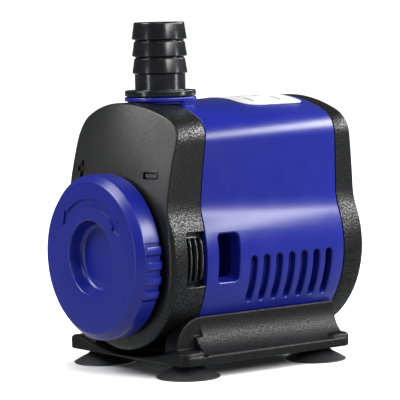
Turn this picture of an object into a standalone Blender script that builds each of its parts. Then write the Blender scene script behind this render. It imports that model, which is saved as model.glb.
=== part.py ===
"""Fountain submersible pump: a magnet-drive pump on a suction-cup base.

Frame: +Z up, the flow dial faces -Y, the origin is on the floor below the middle of the pump.
Every length below is in millimetres and every angle in degrees; add_mesh scales them to metres.
The lengths along Y are measured from the middle of the base, and BOX_MIDDLE_Y moves them so that
the origin lies below the middle of the whole pump.
"""
import math

import bmesh
import bpy
from mathutils import Matrix, Vector

MM = 0.001
BOX_MIDDLE_Y = -2.35           # middle of the pump's whole length, from the middle of the base
GAP = 0.3                      # clearance kept between two pieces that touch
ROUND = 24                     # facets round a turned piece
X_AXIS = Vector((1, 0, 0))
Y_AXIS = Vector((0, 1, 0))
Z_AXIS = Vector((0, 0, 1))

# Body section in XZ: round belly, drawn-in waist, round shoulders and a crowned top.
AXIS_Z = 42.5                  # height of the rotor and dial axis
BELLY_R = 34.5
SIDE_X = 30.2
SHOULDER_R = 10.0
SHOULDER_Z = 82.8
TOP_Z = 97.1
WAIST_R = 20.0
WALL = 2.4                     # wall of the plastic shells

# Places along Y, front to back.
REAR_PARTING_Y = 36.9
REAR_FACE_Y = 46.6
REAR_ROUND = 1.6               # radius of the rear cover's edge
GLAND_SEAT_R = 9.0             # flat round the cord gland
CHAMBER_FRONT_Y = -30.7
CHAMBER_REAR_Y = -9.6

# Flow dial.
DIAL_R = 29.75
DIAL_FRONT_Y = -53.1
DIAL_REAR_Y = -43.7
DIAL_CHAMFER = 2.57
DIAL_WALL = 2.4
RECESS_R = 13.4
RECESS_DEPTH = 5.5
HUB_R = 6.5
RECESS_SLOPE = 1.6             # how far the thumb recess narrows toward its floor
RIB_COUNT = 4
RIB_MIDDLE = -7.2              # angle of the middle of each group of grip ribs
RIB_PITCH = 10.2
RIB_HALF = 2.7
RIB_HEIGHT = 0.8
GRIP_DEPTH = 0.6               # how far the skirt is sunk between the ribs
GRIP_HALF = 20.8
PAD_INNER_R = 9.5
PAD_OUTER_R = 20.8
SNAP_Y = -39.0                 # rear end of the dial's snap-in hub
SNAP_LIP = 1.0
SHUTTER_MIDDLE = 45.0
SHUTTER_HALF = 40.0
INLET_INNER_R = 11.0
INLET_OUTER_R = 20.0
INLET_HALF = 38.0

# Outlet nozzle and the collar it stands on.
OUTLET_Y = -20.2
COLLAR_R = 13.04
COLLAR_TOP_Z = 98.75
COLLAR_BOTTOM_Z = 96.3
FLANGE_R = 12.9
FLANGE_TOP_Z = 101.1
NECK_R = 9.17
BORE_R = 6.4
BARB_ROOT_Z = 106.9
BARB_PITCH = 6.1
BARB_WIDE_R = 10.0
BARB_COUNT = 3
NOZZLE_TOP_Z = 125.7
SPIGOT_R = 8.5
SPIGOT_BOTTOM_Z = 80.0
STUB_BORE_R = 8.9
STUB_R = 10.4
STUB_TOP_Z = 92.8
SEAL_Z = 86.0                  # height of the nozzle's O-ring

# Latch tabs and the windows and slots in the sides of the body.
TAB_FRONT_Y = -35.0
TAB_REAR_Y = -27.3
TAB_HALF = 15.2
TAB_RIDGES = 3
TAB_ROOT_R = 33.2
TAB_CREST_R = 34.2
NOTCH_MARGIN = 0.4
NOTCH_EXTRA = 1.2              # angle by which a notch is longer than its tab at each end
WINDOW_FRONT_Y = -21.5
WINDOW_REAR_Y = -12.0
WINDOW_BOTTOM_Z = 33.3
WINDOW_TOP_Z = 51.0
WINDOW_INNER_X = 28.9
SLOT_COUNT = 7
SLOT_FIRST_Y = -5.45
SLOT_PITCH = 5.85
SLOT_WIDTH = 3.0
SLOT_BOTTOM_Z = 25.0
SLOT_TOP_Z = 42.0

# Base plate and suction cups.
BASE_X = 36.0
BASE_Y = 39.0
BASE_BOTTOM_Z = 5.2
BASE_FLANGE_Z = 8.2
EAR_TOP_Z = 10.2
RAIL_TOP_Z = 21.5
RAIL_X = 28.4
SADDLE_R = 105.0               # shallow saddle along the front and rear edges
SADDLE_LOW_Z = 6.2
PLATE_CORNER_R = 4.0
EAR_X = 35.6
EAR_INNER_X = 14.0
EAR_DEPTH = 10.2
EAR_CORNER_R = 3.2
RAIL_FRONT_Y = -26.0
RAIL_REAR_Y = 36.5
SKIRT_FRONT_Y = -28.9
SKIRT_R = 11.93                # hollow curve of the rails' outer skirt
SKIRT_FOOT_X = 35.6
GUSSET_Y = -25.5               # quarter-round gussets run forward from here
GUSSET_INNER_X = 21.0
CUP_X = 25.4
CUP_Y = 29.6
CUP_R = 11.5
STEM_R = 2.15
KNOB_R = 3.0                   # knob of a cup, snapped up into a pocket of the base
KNOB_Z = 7.2
KNOB_TOP_Z = 9.4

# Pump chamber and rotor.
CHAMBER_FLANGE_R = 27.6
SPIRAL_START = 65.0
SPIRAL_SMALL_R = 18.5
SPIRAL_GROWTH = 5.0
CHAMBER_WALL = 2.0
EYE_R = 12.0
ARM_HALF = 1.1                 # half the width of the spider's arms across the eye
VOLUTE_COVER_T = 2.2
IMPELLER_R = 15.5
IMPELLER_FRONT_Y = -29.2
IMPELLER_PLATE_Y = -14.0
BLADE_COUNT = 6
IMPELLER_PLATE_T = 1.6
DOG_HALF = 30.0
DOG_INNER_R = 3.8
DOG_OUTER_R = 7.0
DOG_LENGTH = 2.8
ROTOR_REAR_Y = 15.0
SHAFT_R = 1.5
SHAFT_BORE_R = 1.85
WELL_BORE_R = 9.0
WELL_R = 10.8
WELL_END_Y = 19.0
MAGNET_R = 8.2

# Motor block.
MOTOR_FRONT_Y = -9.3
MOTOR_REAR_Y = 27.0
MOTOR_INSET = 5.5
MOTOR_WALL = 2.0
CORE_FRONT_Y = 0.0
CORE_REAR_Y = 16.0
LEG_INNER_X = 6.0
LEG_OUTER_X = 14.5
POLE_X = 19.5
POLE_BOTTOM_Z = 28.5
POLE_TOP_Z = 57.0
POLE_GAP = 1.8
YOKE_BOTTOM_Z = 74.8
YOKE_TOP_Z = 83.0
COIL_BOTTOM_Z = 57.6
COIL_TOP_Z = 73.9
COIL_REACH = 5.4               # how far a bobbin flange stands out from its leg
BOBBIN_FLANGE = 1.0
BOBBIN_SLEEVE = 1.1

# Fasteners and trim.
SCREW_PLACES = ((23.3, 85.9), (-23.3, 85.9), (17.8, 19.5), (-17.8, 19.5))
SCREW_SEAT_Y = 40.2
GLAND_BORE_R = 3.3
LABEL_X = 17.4
LABEL_FRONT_Y = 5.0
LABEL_REAR_Y = 33.0


# ---------------------------------------------------------------- materials

def make_material(name, colour, roughness, metallic=0.0):
    material = bpy.data.materials.new(name)
    material.use_nodes = True
    shader = material.node_tree.nodes["Principled BSDF"]
    shader.inputs["Base Color"].default_value = (*colour, 1.0)
    shader.inputs["Roughness"].default_value = roughness
    shader.inputs["Metallic"].default_value = metallic
    material.diffuse_color = (*colour, 1.0)
    return material


BLUE = (0.022, 0.032, 0.33)
BLACK = (0.035, 0.035, 0.038)
GLOSS_BLACK = (0.012, 0.012, 0.014)
RUBBER = (0.015, 0.015, 0.016)
WHITE = (0.85, 0.85, 0.85)
STEEL = (0.55, 0.55, 0.57)
FERRITE = (0.07, 0.07, 0.075)
COPPER = (0.72, 0.31, 0.12)
CERAMIC = (0.9, 0.89, 0.85)
EPOXY = (0.05, 0.045, 0.04)
GREY = (0.3, 0.3, 0.31)


# ---------------------------------------------------------------- mesh tools

def add_mesh(name, bm, material=None):
    """Turn a bmesh in millimetres into an object in metres, shaded smooth but for its sharp edges."""
    bmesh.ops.remove_doubles(bm, verts=bm.verts, dist=0.001)
    bmesh.ops.recalc_face_normals(bm, faces=bm.faces)
    bmesh.ops.translate(bm, vec=(0, -BOX_MIDDLE_Y, 0), verts=bm.verts)
    bmesh.ops.scale(bm, vec=(MM, MM, MM), verts=bm.verts)
    mesh = bpy.data.meshes.new(name)
    bm.to_mesh(mesh)
    bm.free()
    mesh.shade_smooth()
    mesh.set_sharp_from_angle(angle=math.radians(32))
    if material is not None:
        mesh.materials.append(material)
    obj = bpy.data.objects.new(name, mesh)
    bpy.context.scene.collection.objects.link(obj)
    return obj


def set_origin(obj, point):
    """Move the object's origin to a point in millimetres without moving its shape."""
    place = (Vector(point) - Vector((0, BOX_MIDDLE_Y, 0))) * MM
    obj.data.transform(Matrix.Translation(-place))
    obj.location = place


def change(target, tool, operation):
    """Cut, join or intersect the target with a tool object, which then only guides."""
    modifier = target.modifiers.new(tool.name, "BOOLEAN")
    modifier.operation = operation
    modifier.solver = "EXACT"
    modifier.object = tool
    tool.hide_render = True
    tool.display_type = "WIRE"


def cut(target, tool):
    change(target, tool, "DIFFERENCE")


def join(target, tool):
    change(target, tool, "UNION")


def loft(rings, closed=False):
    """Skin rings of equal length; closed links the last ring to the first, else both ends are capped."""
    bm = bmesh.new()
    loops = [[bm.verts.new(point) for point in ring] for ring in rings]
    pairs = list(zip(loops, loops[1:]))
    if closed:
        pairs.append((loops[-1], loops[0]))
    for first, second in pairs:
        count = len(first)
        for i in range(count):
            j = (i + 1) % count
            bm.faces.new((first[i], first[j], second[j], second[i]))
    if not closed:
        bm.faces.new(loops[0])
        bm.faces.new(loops[-1])
    return bm


def add_prism(bm, outline, low, high, axis="Y"):
    """Extrude an outline along an axis; outlines are (x, z) for Y, (x, y) for Z and (y, z) for X."""
    place = {
        "X": lambda a, b: (low, a, b),
        "Y": lambda a, b: (a, low, b),
        "Z": lambda a, b: (a, b, low),
    }[axis]
    direction = {"X": X_AXIS, "Y": Y_AXIS, "Z": Z_AXIS}[axis]
    face = bm.faces.new([bm.verts.new(place(a, b)) for a, b in outline])
    sides = bmesh.ops.extrude_face_region(bm, geom=[face])
    verts = [part for part in sides["geom"] if isinstance(part, bmesh.types.BMVert)]
    bmesh.ops.translate(bm, vec=direction * (high - low), verts=verts)


def prism(outline, low, high, axis="Y"):
    bm = bmesh.new()
    add_prism(bm, outline, low, high, axis)
    return bm


def add_turned(bm, profile, centre, axis, start=0.0, sweep=360.0, steps=ROUND):
    """Turn a profile of (radius, height along the axis) about the axis through the centre."""
    out = X_AXIS if axis != X_AXIS else Y_AXIS
    middle = Vector(centre)
    turn = Matrix.Rotation(math.radians(start), 3, axis)
    points = [middle + turn @ (out * radius) + axis * height for radius, height in profile]
    verts = [bm.verts.new(point) for point in points]
    whole = abs(sweep - 360.0) < 0.001
    edges = [bm.edges.new(pair) for pair in zip(verts, verts[1:])]
    if profile[0][0] > 0 or not whole:
        edges.append(bm.edges.new((verts[-1], verts[0])))
    geometry = verts + edges
    if not whole:
        geometry.append(bm.faces.new(verts))
    bmesh.ops.spin(bm, geom=geometry, cent=middle, axis=axis, angle=math.radians(sweep),
                   steps=steps, use_merge=whole)


def turned(profile, centre, axis, start=0.0, sweep=360.0, steps=ROUND):
    bm = bmesh.new()
    add_turned(bm, profile, centre, axis, start, sweep, steps)
    return bm


def ring_profile(inner, outer, low, high):
    """Rectangle from inner to outer radius; an inner radius of zero makes a full disc."""
    return [(inner, low), (outer, low), (outer, high), (inner, high)]


def arc(centre, radius, start, end, steps):
    angles = [math.radians(start + (end - start) * i / steps) for i in range(steps + 1)]
    return [(centre[0] + radius * math.cos(a), centre[1] + radius * math.sin(a)) for a in angles]


def rounded_box(low, high, radius, steps=3):
    """Outline of a rectangle with round corners, anticlockwise."""
    (a0, b0), (a1, b1) = low, high
    corners = (((a1 - radius, b0 + radius), -90), ((a1 - radius, b1 - radius), 0),
               ((a0 + radius, b1 - radius), 90), ((a0 + radius, b0 + radius), 180))
    points = []
    for centre, start in corners:
        points += arc(centre, radius, start, start + 90, steps)
    return points


def mirrored(points):
    return [(-x, z) for x, z in reversed(points)]


# ---------------------------------------------------------------- body section

def section(inset=0.0):
    """Section of the body as (x, z), pulled in by an inset; every inset has the same point count."""
    rise = TOP_Z - SHOULDER_Z
    half = SIDE_X - SHOULDER_R
    crown_r = (half ** 2 + rise ** 2 - SHOULDER_R ** 2) / (2 * (rise - SHOULDER_R))
    crown_z = TOP_Z - crown_r
    crown_end = math.degrees(math.atan2(SHOULDER_Z - crown_z, half))
    waist_x = SIDE_X + WAIST_R
    waist_z = AXIS_Z + math.sqrt((BELLY_R + WAIST_R) ** 2 - waist_x ** 2)
    belly_start = math.degrees(math.atan2(waist_z - AXIS_Z, waist_x))
    right = arc((0, crown_z), crown_r - inset, 90, crown_end, 4)
    right += arc((half, SHOULDER_Z), SHOULDER_R - inset, crown_end, 0, 4)[1:]
    right += arc((waist_x, waist_z), WAIST_R + inset, 180, 180 + belly_start, 2)
    right += arc((0, AXIS_Z), BELLY_R - inset, belly_start, -90, 11)[1:]
    return right + mirrored(right)[1:-1]


def front_parting(z):
    """Curved joint between the front cover and the body shell."""
    return -27.0 + 0.0021 * (z - AXIS_Z) ** 2


def front_face(x, z):
    """Y of the domed front face."""
    drop = (z - AXIS_Z) ** 2
    return -43.5 + 0.002 * drop + (0.0012 + 1.9e-6 * drop) * x ** 2


def rear_face(z):
    """Y of the gently domed rear face."""
    return REAR_FACE_Y - 0.00104 * (z - AXIS_Z) ** 2


def front_round(z):
    """Radius of the front cover's edge: large round the belly, tight above the waist."""
    share = min(max((58.0 - z) / 10.0, 0.0), 1.0)
    return 0.7 + 1.9 * share


def toward_circle(points, radius, share):
    """Move a ring of (x, z) points part of the way to a circle round the axis."""
    moved = []
    for x, z in points:
        angle = math.atan2(z - AXIS_Z, x)
        goal = (radius * math.cos(angle), AXIS_Z + radius * math.sin(angle))
        moved.append((x + (goal[0] - x) * share, z + (goal[1] - z) * share))
    return moved


# ---------------------------------------------------------------- casing

def make_body_shell(blue):
    """Blue shell with the outlet collar, latch windows, cooling slots and screw bosses."""
    outer = section()
    inner = section(WALL)
    rings = [
        [(x, front_parting(z) + GAP / 2, z) for x, z in outer],
        [(x, REAR_PARTING_Y - GAP / 2, z) for x, z in outer],
        [(x, REAR_PARTING_Y - GAP / 2, z) for x, z in inner],
        [(x, front_parting(z) + GAP / 2, z) for x, z in inner],
    ]
    shell = add_mesh("body_shell", loft(rings, closed=True), blue)

    bm = bmesh.new()
    for side in (1, -1):
        frame = rounded_box((WINDOW_FRONT_Y - 2, WINDOW_BOTTOM_Z - 2),
                            (WINDOW_REAR_Y + 2, WINDOW_TOP_Z + 2), 2.0)
        add_prism(bm, frame, side * WINDOW_INNER_X, side * 32.3, "X")
    join(shell, add_mesh("window_frames", bm))

    bm = bmesh.new()
    for x, z in SCREW_PLACES:
        add_turned(bm, ring_profile(0, 3.6, 28.5, REAR_PARTING_Y - 1.0), (x, 0, z), Y_AXIS, steps=12)
    join(shell, add_mesh("screw_bosses", bm))

    collar = turned(ring_profile(0, COLLAR_R, COLLAR_BOTTOM_Z, COLLAR_TOP_Z),
                    (0, OUTLET_Y, 0), Z_AXIS)
    join(shell, add_mesh("outlet_collar", collar))
    block = rounded_box((-COLLAR_R, OUTLET_Y + 0.4), (COLLAR_R, -13.8), 0.8)
    join(shell, add_mesh("collar_block", prism(block, 94.6, 97.8, "Z")))
    bore = turned(ring_profile(0, SPIGOT_R + 0.6, 85, 105), (0, OUTLET_Y, 0), Z_AXIS)
    cut(shell, add_mesh("collar_bore", bore))

    bm = bmesh.new()
    window = rounded_box((WINDOW_FRONT_Y, WINDOW_BOTTOM_Z), (WINDOW_REAR_Y, WINDOW_TOP_Z), 1.5)
    add_prism(bm, window, -40, -25, "X")
    add_prism(bm, window, 25, 40, "X")
    for i in range(SLOT_COUNT):
        middle = SLOT_FIRST_Y + i * SLOT_PITCH
        radius = SLOT_WIDTH / 2
        slot = arc((middle, SLOT_TOP_Z - radius), radius, 0, 180, 4)
        slot += arc((middle, SLOT_BOTTOM_Z + radius), radius, 180, 360, 4)
        add_prism(bm, slot, -40, -22, "X")
        add_prism(bm, slot, 22, 40, "X")
    for x, z in SCREW_PLACES:
        add_turned(bm, ring_profile(0, SHAFT_R + GAP, 29.5, 38), (x, 0, z), Y_AXIS, steps=10)
    cut(shell, add_mesh("side_openings", bm))
    return shell


def make_front_cover(black):
    """Black front cover: domed face with two inlets behind the dial, and a notch each side."""
    outer = section()
    inner = section(WALL)
    unit = section(1.0)

    def edge_ring(part):
        """Ring on the rounded front edge; part runs from 0 on the side to 90 on the face."""
        ring = []
        for (x, z), (ux, uz) in zip(outer, unit):
            size = front_round(z)
            inset = size * (1 - math.cos(math.radians(part)))
            px = x + (ux - x) * inset
            pz = z + (uz - z) * inset
            ring.append((px, front_face(px, pz) + size * (1 - math.sin(math.radians(part))), pz))
        return ring

    rings = [[(x, front_parting(z) - GAP / 2, z) for x, z in outer]]
    rings += [edge_ring(part) for part in (0, 45, 90)]
    rim = [(point[0], point[2]) for point in rings[-1]]
    hole_r = HUB_R + GAP
    for share in (0.5, 1.0):
        ring = toward_circle(rim, hole_r, share)
        rings.append([(x, front_face(x, z), z) for x, z in ring])
    for share in (1.0, 0.5, 0.0):
        ring = toward_circle(inner, hole_r, share)
        rings.append([(x, front_face(x, z) + WALL, z) for x, z in ring])
    rings.append([(x, front_parting(z) - GAP / 2, z) for x, z in inner])
    cover = add_mesh("front_cover", loft(rings, closed=True), black)

    bm = bmesh.new()
    inlet = [(INLET_INNER_R, -46), (INLET_OUTER_R, -46), (INLET_OUTER_R, -37), (INLET_INNER_R, -37)]
    notch = [(29.0, TAB_FRONT_Y - NOTCH_MARGIN), (37.0, TAB_FRONT_Y - NOTCH_MARGIN),
             (37.0, -20.0), (29.0, -20.0)]
    notch_half = TAB_HALF + NOTCH_EXTRA
    for middle in (0.0, 180.0):
        add_turned(bm, inlet, (0, 0, AXIS_Z), Y_AXIS, middle - INLET_HALF, 2 * INLET_HALF, 8)
        add_turned(bm, notch, (0, 0, AXIS_Z), Y_AXIS, middle - notch_half, 2 * notch_half, 8)
    cut(cover, add_mesh("cover_openings", bm))
    seat = turned(ring_profile(0, COLLAR_R + GAP, COLLAR_BOTTOM_Z - GAP, 110),
                  (0, OUTLET_Y, 0), Z_AXIS)
    add_turned(seat, ring_profile(0, STUB_R + 0.6, 80, 94), (0, OUTLET_Y, 0), Z_AXIS)
    cut(cover, add_mesh("collar_seat", seat))
    bore = turned(ring_profile(0, SPIGOT_R + 0.6, 85, 105), (0, OUTLET_Y, 0), Z_AXIS)
    cut(cover, add_mesh("cover_bore", bore))
    return cover


def make_latch_tab(name, middle, gloss):
    """Press tab with upright ridges, held behind the cover wall by a thin flange."""
    root = TAB_ROOT_R
    crest = TAB_CREST_R
    pitch = (TAB_REAR_Y - TAB_FRONT_Y) / TAB_RIDGES
    profile = [(30.9, TAB_FRONT_Y), (root, TAB_FRONT_Y)]
    for i in range(TAB_RIDGES):
        start = TAB_FRONT_Y + i * pitch
        profile += [(root, start + 0.35), (crest, start + 0.75), (crest, start + pitch - 0.75),
                    (root, start + pitch - 0.35)]
    profile += [(root, TAB_REAR_Y), (30.9, TAB_REAR_Y)]
    centre = (0, 0, AXIS_Z)
    tab = add_mesh(name, turned(profile, centre, Y_AXIS, middle - TAB_HALF, 2 * TAB_HALF, 6), gloss)
    flange = [(30.6, TAB_FRONT_Y - 1.6), (31.6, TAB_FRONT_Y - 1.6),
              (31.6, TAB_REAR_Y + 1.4), (30.6, TAB_REAR_Y + 1.4)]
    half = TAB_HALF + 2.6
    join(tab, add_mesh(name + "_flange", turned(flange, centre, Y_AXIS, middle - half, 2 * half, 6)))
    return tab


def make_rear_cover(black):
    """Black rear cover: a shallow dish with screw pillars and the hole for the cord gland."""
    outer = section()
    inner = section(WALL)
    parting = REAR_PARTING_Y + GAP / 2
    hub = GLAND_SEAT_R
    rings = [[(x, rear_face(AXIS_Z) - WALL, z) for x, z in toward_circle(inner, hub, 1.0)]]
    for share in (0.6, 0.0):
        ring = toward_circle(inner, hub, share)
        rings.append([(x, rear_face(z) - WALL, z) for x, z in ring])
    rings.append([(x, parting, z) for x, z in inner])
    rings.append([(x, parting, z) for x, z in outer])
    for part in (0, 45, 90):
        ring = section(REAR_ROUND * (1 - math.cos(math.radians(part))))
        lift = REAR_ROUND * (1 - math.sin(math.radians(part)))
        rings.append([(x, rear_face(z) - lift, z) for x, z in ring])
    for share in (0.5, 1.0):
        ring = toward_circle(section(REAR_ROUND), hub, share)
        rings.append([(x, rear_face(z) if share < 1 else REAR_FACE_Y, z) for x, z in ring])
    cover = add_mesh("rear_cover", loft(rings), black)

    bm = bmesh.new()
    for x, z in SCREW_PLACES:
        add_turned(bm, ring_profile(0, 4.7, parting, rear_face(z) - 1.2), (x, 0, z), Y_AXIS, steps=12)
    join(cover, add_mesh("screw_pillars", bm))
    bm = bmesh.new()
    for x, z in SCREW_PLACES:
        well = [(0, parting - 2), (SHAFT_R + GAP, parting - 2), (SHAFT_R + GAP, SCREW_SEAT_Y),
                (3.4, SCREW_SEAT_Y), (3.4, 50), (0, 50)]
        add_turned(bm, well, (x, 0, z), Y_AXIS, steps=12)
    add_turned(bm, ring_profile(0, 5.2, 40, 50), (0, 0, AXIS_Z), Y_AXIS, steps=24)
    cut(cover, add_mesh("cover_holes", bm))
    return cover


def make_screws(steel):
    """Four cross-head screws that hold the rear cover."""
    seat = SCREW_SEAT_Y + GAP
    top = seat + 1.8
    profile = [(0, 30.0), (0.9, 30.0), (SHAFT_R, 31.2), (SHAFT_R, seat), (2.9, seat),
               (2.9, seat + 0.9), (2.1, top), (0, top)]
    for number, (x, z) in enumerate(SCREW_PLACES, 1):
        screw = add_mesh("rear_screw_%d" % number, turned(profile, (x, 0, z), Y_AXIS, steps=12), steel)
        bm = bmesh.new()
        arm = 0.45
        reach = 1.5
        cross = []
        for quarter in range(4):
            a = math.radians(90 * quarter)
            for u, v in ((reach, -arm), (reach, arm), (arm, arm)):
                cross.append((x + u * math.cos(a) - v * math.sin(a), z + u * math.sin(a) + v * math.cos(a)))
        add_prism(bm, cross, top - 1.0, top + 1.0, "Y")
        cut(screw, add_mesh("cross_recess_%d" % number, bm))
        set_origin(screw, (x, seat, z))


def make_cord_gland(rubber):
    """Rubber gland in the rear cover that the supply cord comes out of."""
    back = REAR_FACE_Y
    profile = [(GLAND_BORE_R, 41.4), (6.6, 41.4), (6.6, back - WALL - GAP), (4.9, back - WALL - GAP),
               (4.9, back + GAP), (6.8, back + GAP), (6.8, back + 0.9), (5.4, back + 1.8),
               (GLAND_BORE_R, back + 1.8)]
    gland = add_mesh("cord_gland", turned(profile, (0, 0, AXIS_Z), Y_AXIS, steps=16), rubber)
    set_origin(gland, (0, back, AXIS_Z))


def make_label(white):
    """Blank sticker that follows the crowned top."""
    rise = TOP_Z - SHOULDER_Z
    half = SIDE_X - SHOULDER_R
    crown_r = (half ** 2 + rise ** 2 - SHOULDER_R ** 2) / (2 * (rise - SHOULDER_R))
    swing = math.degrees(math.asin(LABEL_X / crown_r))
    low = arc((0, TOP_Z - crown_r), crown_r + 0.15, 90 - swing, 90 + swing, 8)
    high = arc((0, TOP_Z - crown_r), crown_r + 0.4, 90 + swing, 90 - swing, 8)
    label = add_mesh("top_label", prism(low + high, LABEL_FRONT_Y, LABEL_REAR_Y, "Y"), white)
    set_origin(label, (0, LABEL_FRONT_Y, TOP_Z))


# ---------------------------------------------------------------- dial and nozzle

def make_flow_dial(blue):
    """Flow dial: a cup with a thumb recess, grip ribs, shutter pads and a snap-in hub."""
    recess_y = DIAL_FRONT_Y + RECESS_DEPTH
    web_y = recess_y + DIAL_WALL
    face_inner_y = DIAL_FRONT_Y + 2.9
    skirt_inner = DIAL_R - DIAL_WALL
    profile = [(0, recess_y), (RECESS_R - RECESS_SLOPE, recess_y), (RECESS_R - 0.6, recess_y - 0.8),
               (RECESS_R, DIAL_FRONT_Y + 0.4),
               (RECESS_R + 0.5, DIAL_FRONT_Y), (DIAL_R - DIAL_CHAMFER, DIAL_FRONT_Y),
               (DIAL_R, DIAL_FRONT_Y + DIAL_CHAMFER), (DIAL_R, DIAL_REAR_Y),
               (skirt_inner, DIAL_REAR_Y), (skirt_inner, face_inner_y),
               (16.2, face_inner_y), (14.6, web_y), (HUB_R, web_y), (HUB_R, SNAP_Y - 1.7),
               (HUB_R + SNAP_LIP, SNAP_Y - 1.4), (HUB_R, SNAP_Y), (HUB_R - 2, SNAP_Y),
               (HUB_R - 2, web_y), (0, web_y)]
    centre = (0, 0, AXIS_Z)
    dial = add_mesh("flow_dial", turned(profile, centre, Y_AXIS, steps=36), blue)

    rib_front = DIAL_FRONT_Y + DIAL_CHAMFER + 0.3
    root = DIAL_R - GRIP_DEPTH
    crest = DIAL_R + RIB_HEIGHT
    bm = bmesh.new()
    grip = [(root, rib_front), (crest + 2, rib_front), (crest + 2, DIAL_REAR_Y + 1), (root, DIAL_REAR_Y + 1)]
    for turn in (0.0, 180.0):
        add_turned(bm, grip, centre, Y_AXIS, -(RIB_MIDDLE + turn) - GRIP_HALF, 2 * GRIP_HALF, 8)
    cut(dial, add_mesh("grip_recesses", bm))

    bm = bmesh.new()
    pad = [(PAD_INNER_R, web_y - 0.6), (14.0, web_y - 0.6), (15.6, face_inner_y - 0.6),
           (PAD_OUTER_R, face_inner_y - 0.6), (PAD_OUTER_R, DIAL_REAR_Y), (PAD_INNER_R, DIAL_REAR_Y)]
    rib = [(root - 0.8, rib_front - 0.2), (root, rib_front - 0.2), (crest, rib_front + 0.9),
           (crest, DIAL_REAR_Y - 0.2), (root - 0.8, DIAL_REAR_Y - 0.2)]
    for turn in (0.0, 180.0):
        start = -(SHUTTER_MIDDLE + turn) - SHUTTER_HALF
        add_turned(bm, pad, centre, Y_AXIS, start, 2 * SHUTTER_HALF, 6)
        for i in range(RIB_COUNT):
            middle = RIB_MIDDLE + (i - (RIB_COUNT - 1) / 2) * RIB_PITCH + turn
            add_turned(bm, rib, centre, Y_AXIS, -middle - RIB_HALF, 2 * RIB_HALF, 1)
    join(dial, add_mesh("dial_pads_and_ribs", bm))
    set_origin(dial, (0, 0, AXIS_Z))
    return dial


def make_outlet_nozzle(gloss):
    """Barbed hose nozzle: spigot with an O-ring groove, flange, neck and three barbs."""
    flange_low = COLLAR_TOP_Z + GAP
    groove_low = SEAL_Z - 0.8
    groove_high = SEAL_Z + 0.8
    profile = [(BORE_R, SPIGOT_BOTTOM_Z), (SPIGOT_R - 0.6, SPIGOT_BOTTOM_Z),
               (SPIGOT_R, SPIGOT_BOTTOM_Z + 0.8), (SPIGOT_R, groove_low), (SPIGOT_R - 1.1, groove_low),
               (SPIGOT_R - 1.1, groove_high), (SPIGOT_R, groove_high), (SPIGOT_R, flange_low),
               (FLANGE_R - 0.3, flange_low), (FLANGE_R, flange_low + 0.3),
               (FLANGE_R, FLANGE_TOP_Z - 0.4), (FLANGE_R - 0.4, FLANGE_TOP_Z), (NECK_R, FLANGE_TOP_Z)]
    for i in range(BARB_COUNT):
        low = BARB_ROOT_Z + i * BARB_PITCH
        profile += [(NECK_R - 0.4, low), (BARB_WIDE_R, low + 0.7), (NECK_R + 0.05, low + BARB_PITCH - 0.5)]
    profile += [(NECK_R - 0.4, NOZZLE_TOP_Z - 0.6), (NECK_R - 1.0, NOZZLE_TOP_Z),
                (BORE_R + 0.3, NOZZLE_TOP_Z), (BORE_R, NOZZLE_TOP_Z - 0.3)]
    nozzle = add_mesh("outlet_nozzle", turned(profile, (0, OUTLET_Y, 0), Z_AXIS, steps=ROUND), gloss)
    set_origin(nozzle, (0, OUTLET_Y, FLANGE_TOP_Z))


def make_nozzle_seal(rubber):
    profile = [(SPIGOT_R - 0.6, SEAL_Z - 0.5), (SPIGOT_R - 0.1, SEAL_Z - 0.5),
               (SPIGOT_R + 0.15, SEAL_Z), (SPIGOT_R - 0.1, SEAL_Z + 0.5),
               (SPIGOT_R - 0.6, SEAL_Z + 0.5), (SPIGOT_R - 0.85, SEAL_Z)]
    seal = add_mesh("nozzle_o_ring", turned(profile, (0, OUTLET_Y, 0), Z_AXIS, steps=20), rubber)
    set_origin(seal, (0, OUTLET_Y, SEAL_Z))


# ---------------------------------------------------------------- base

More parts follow.
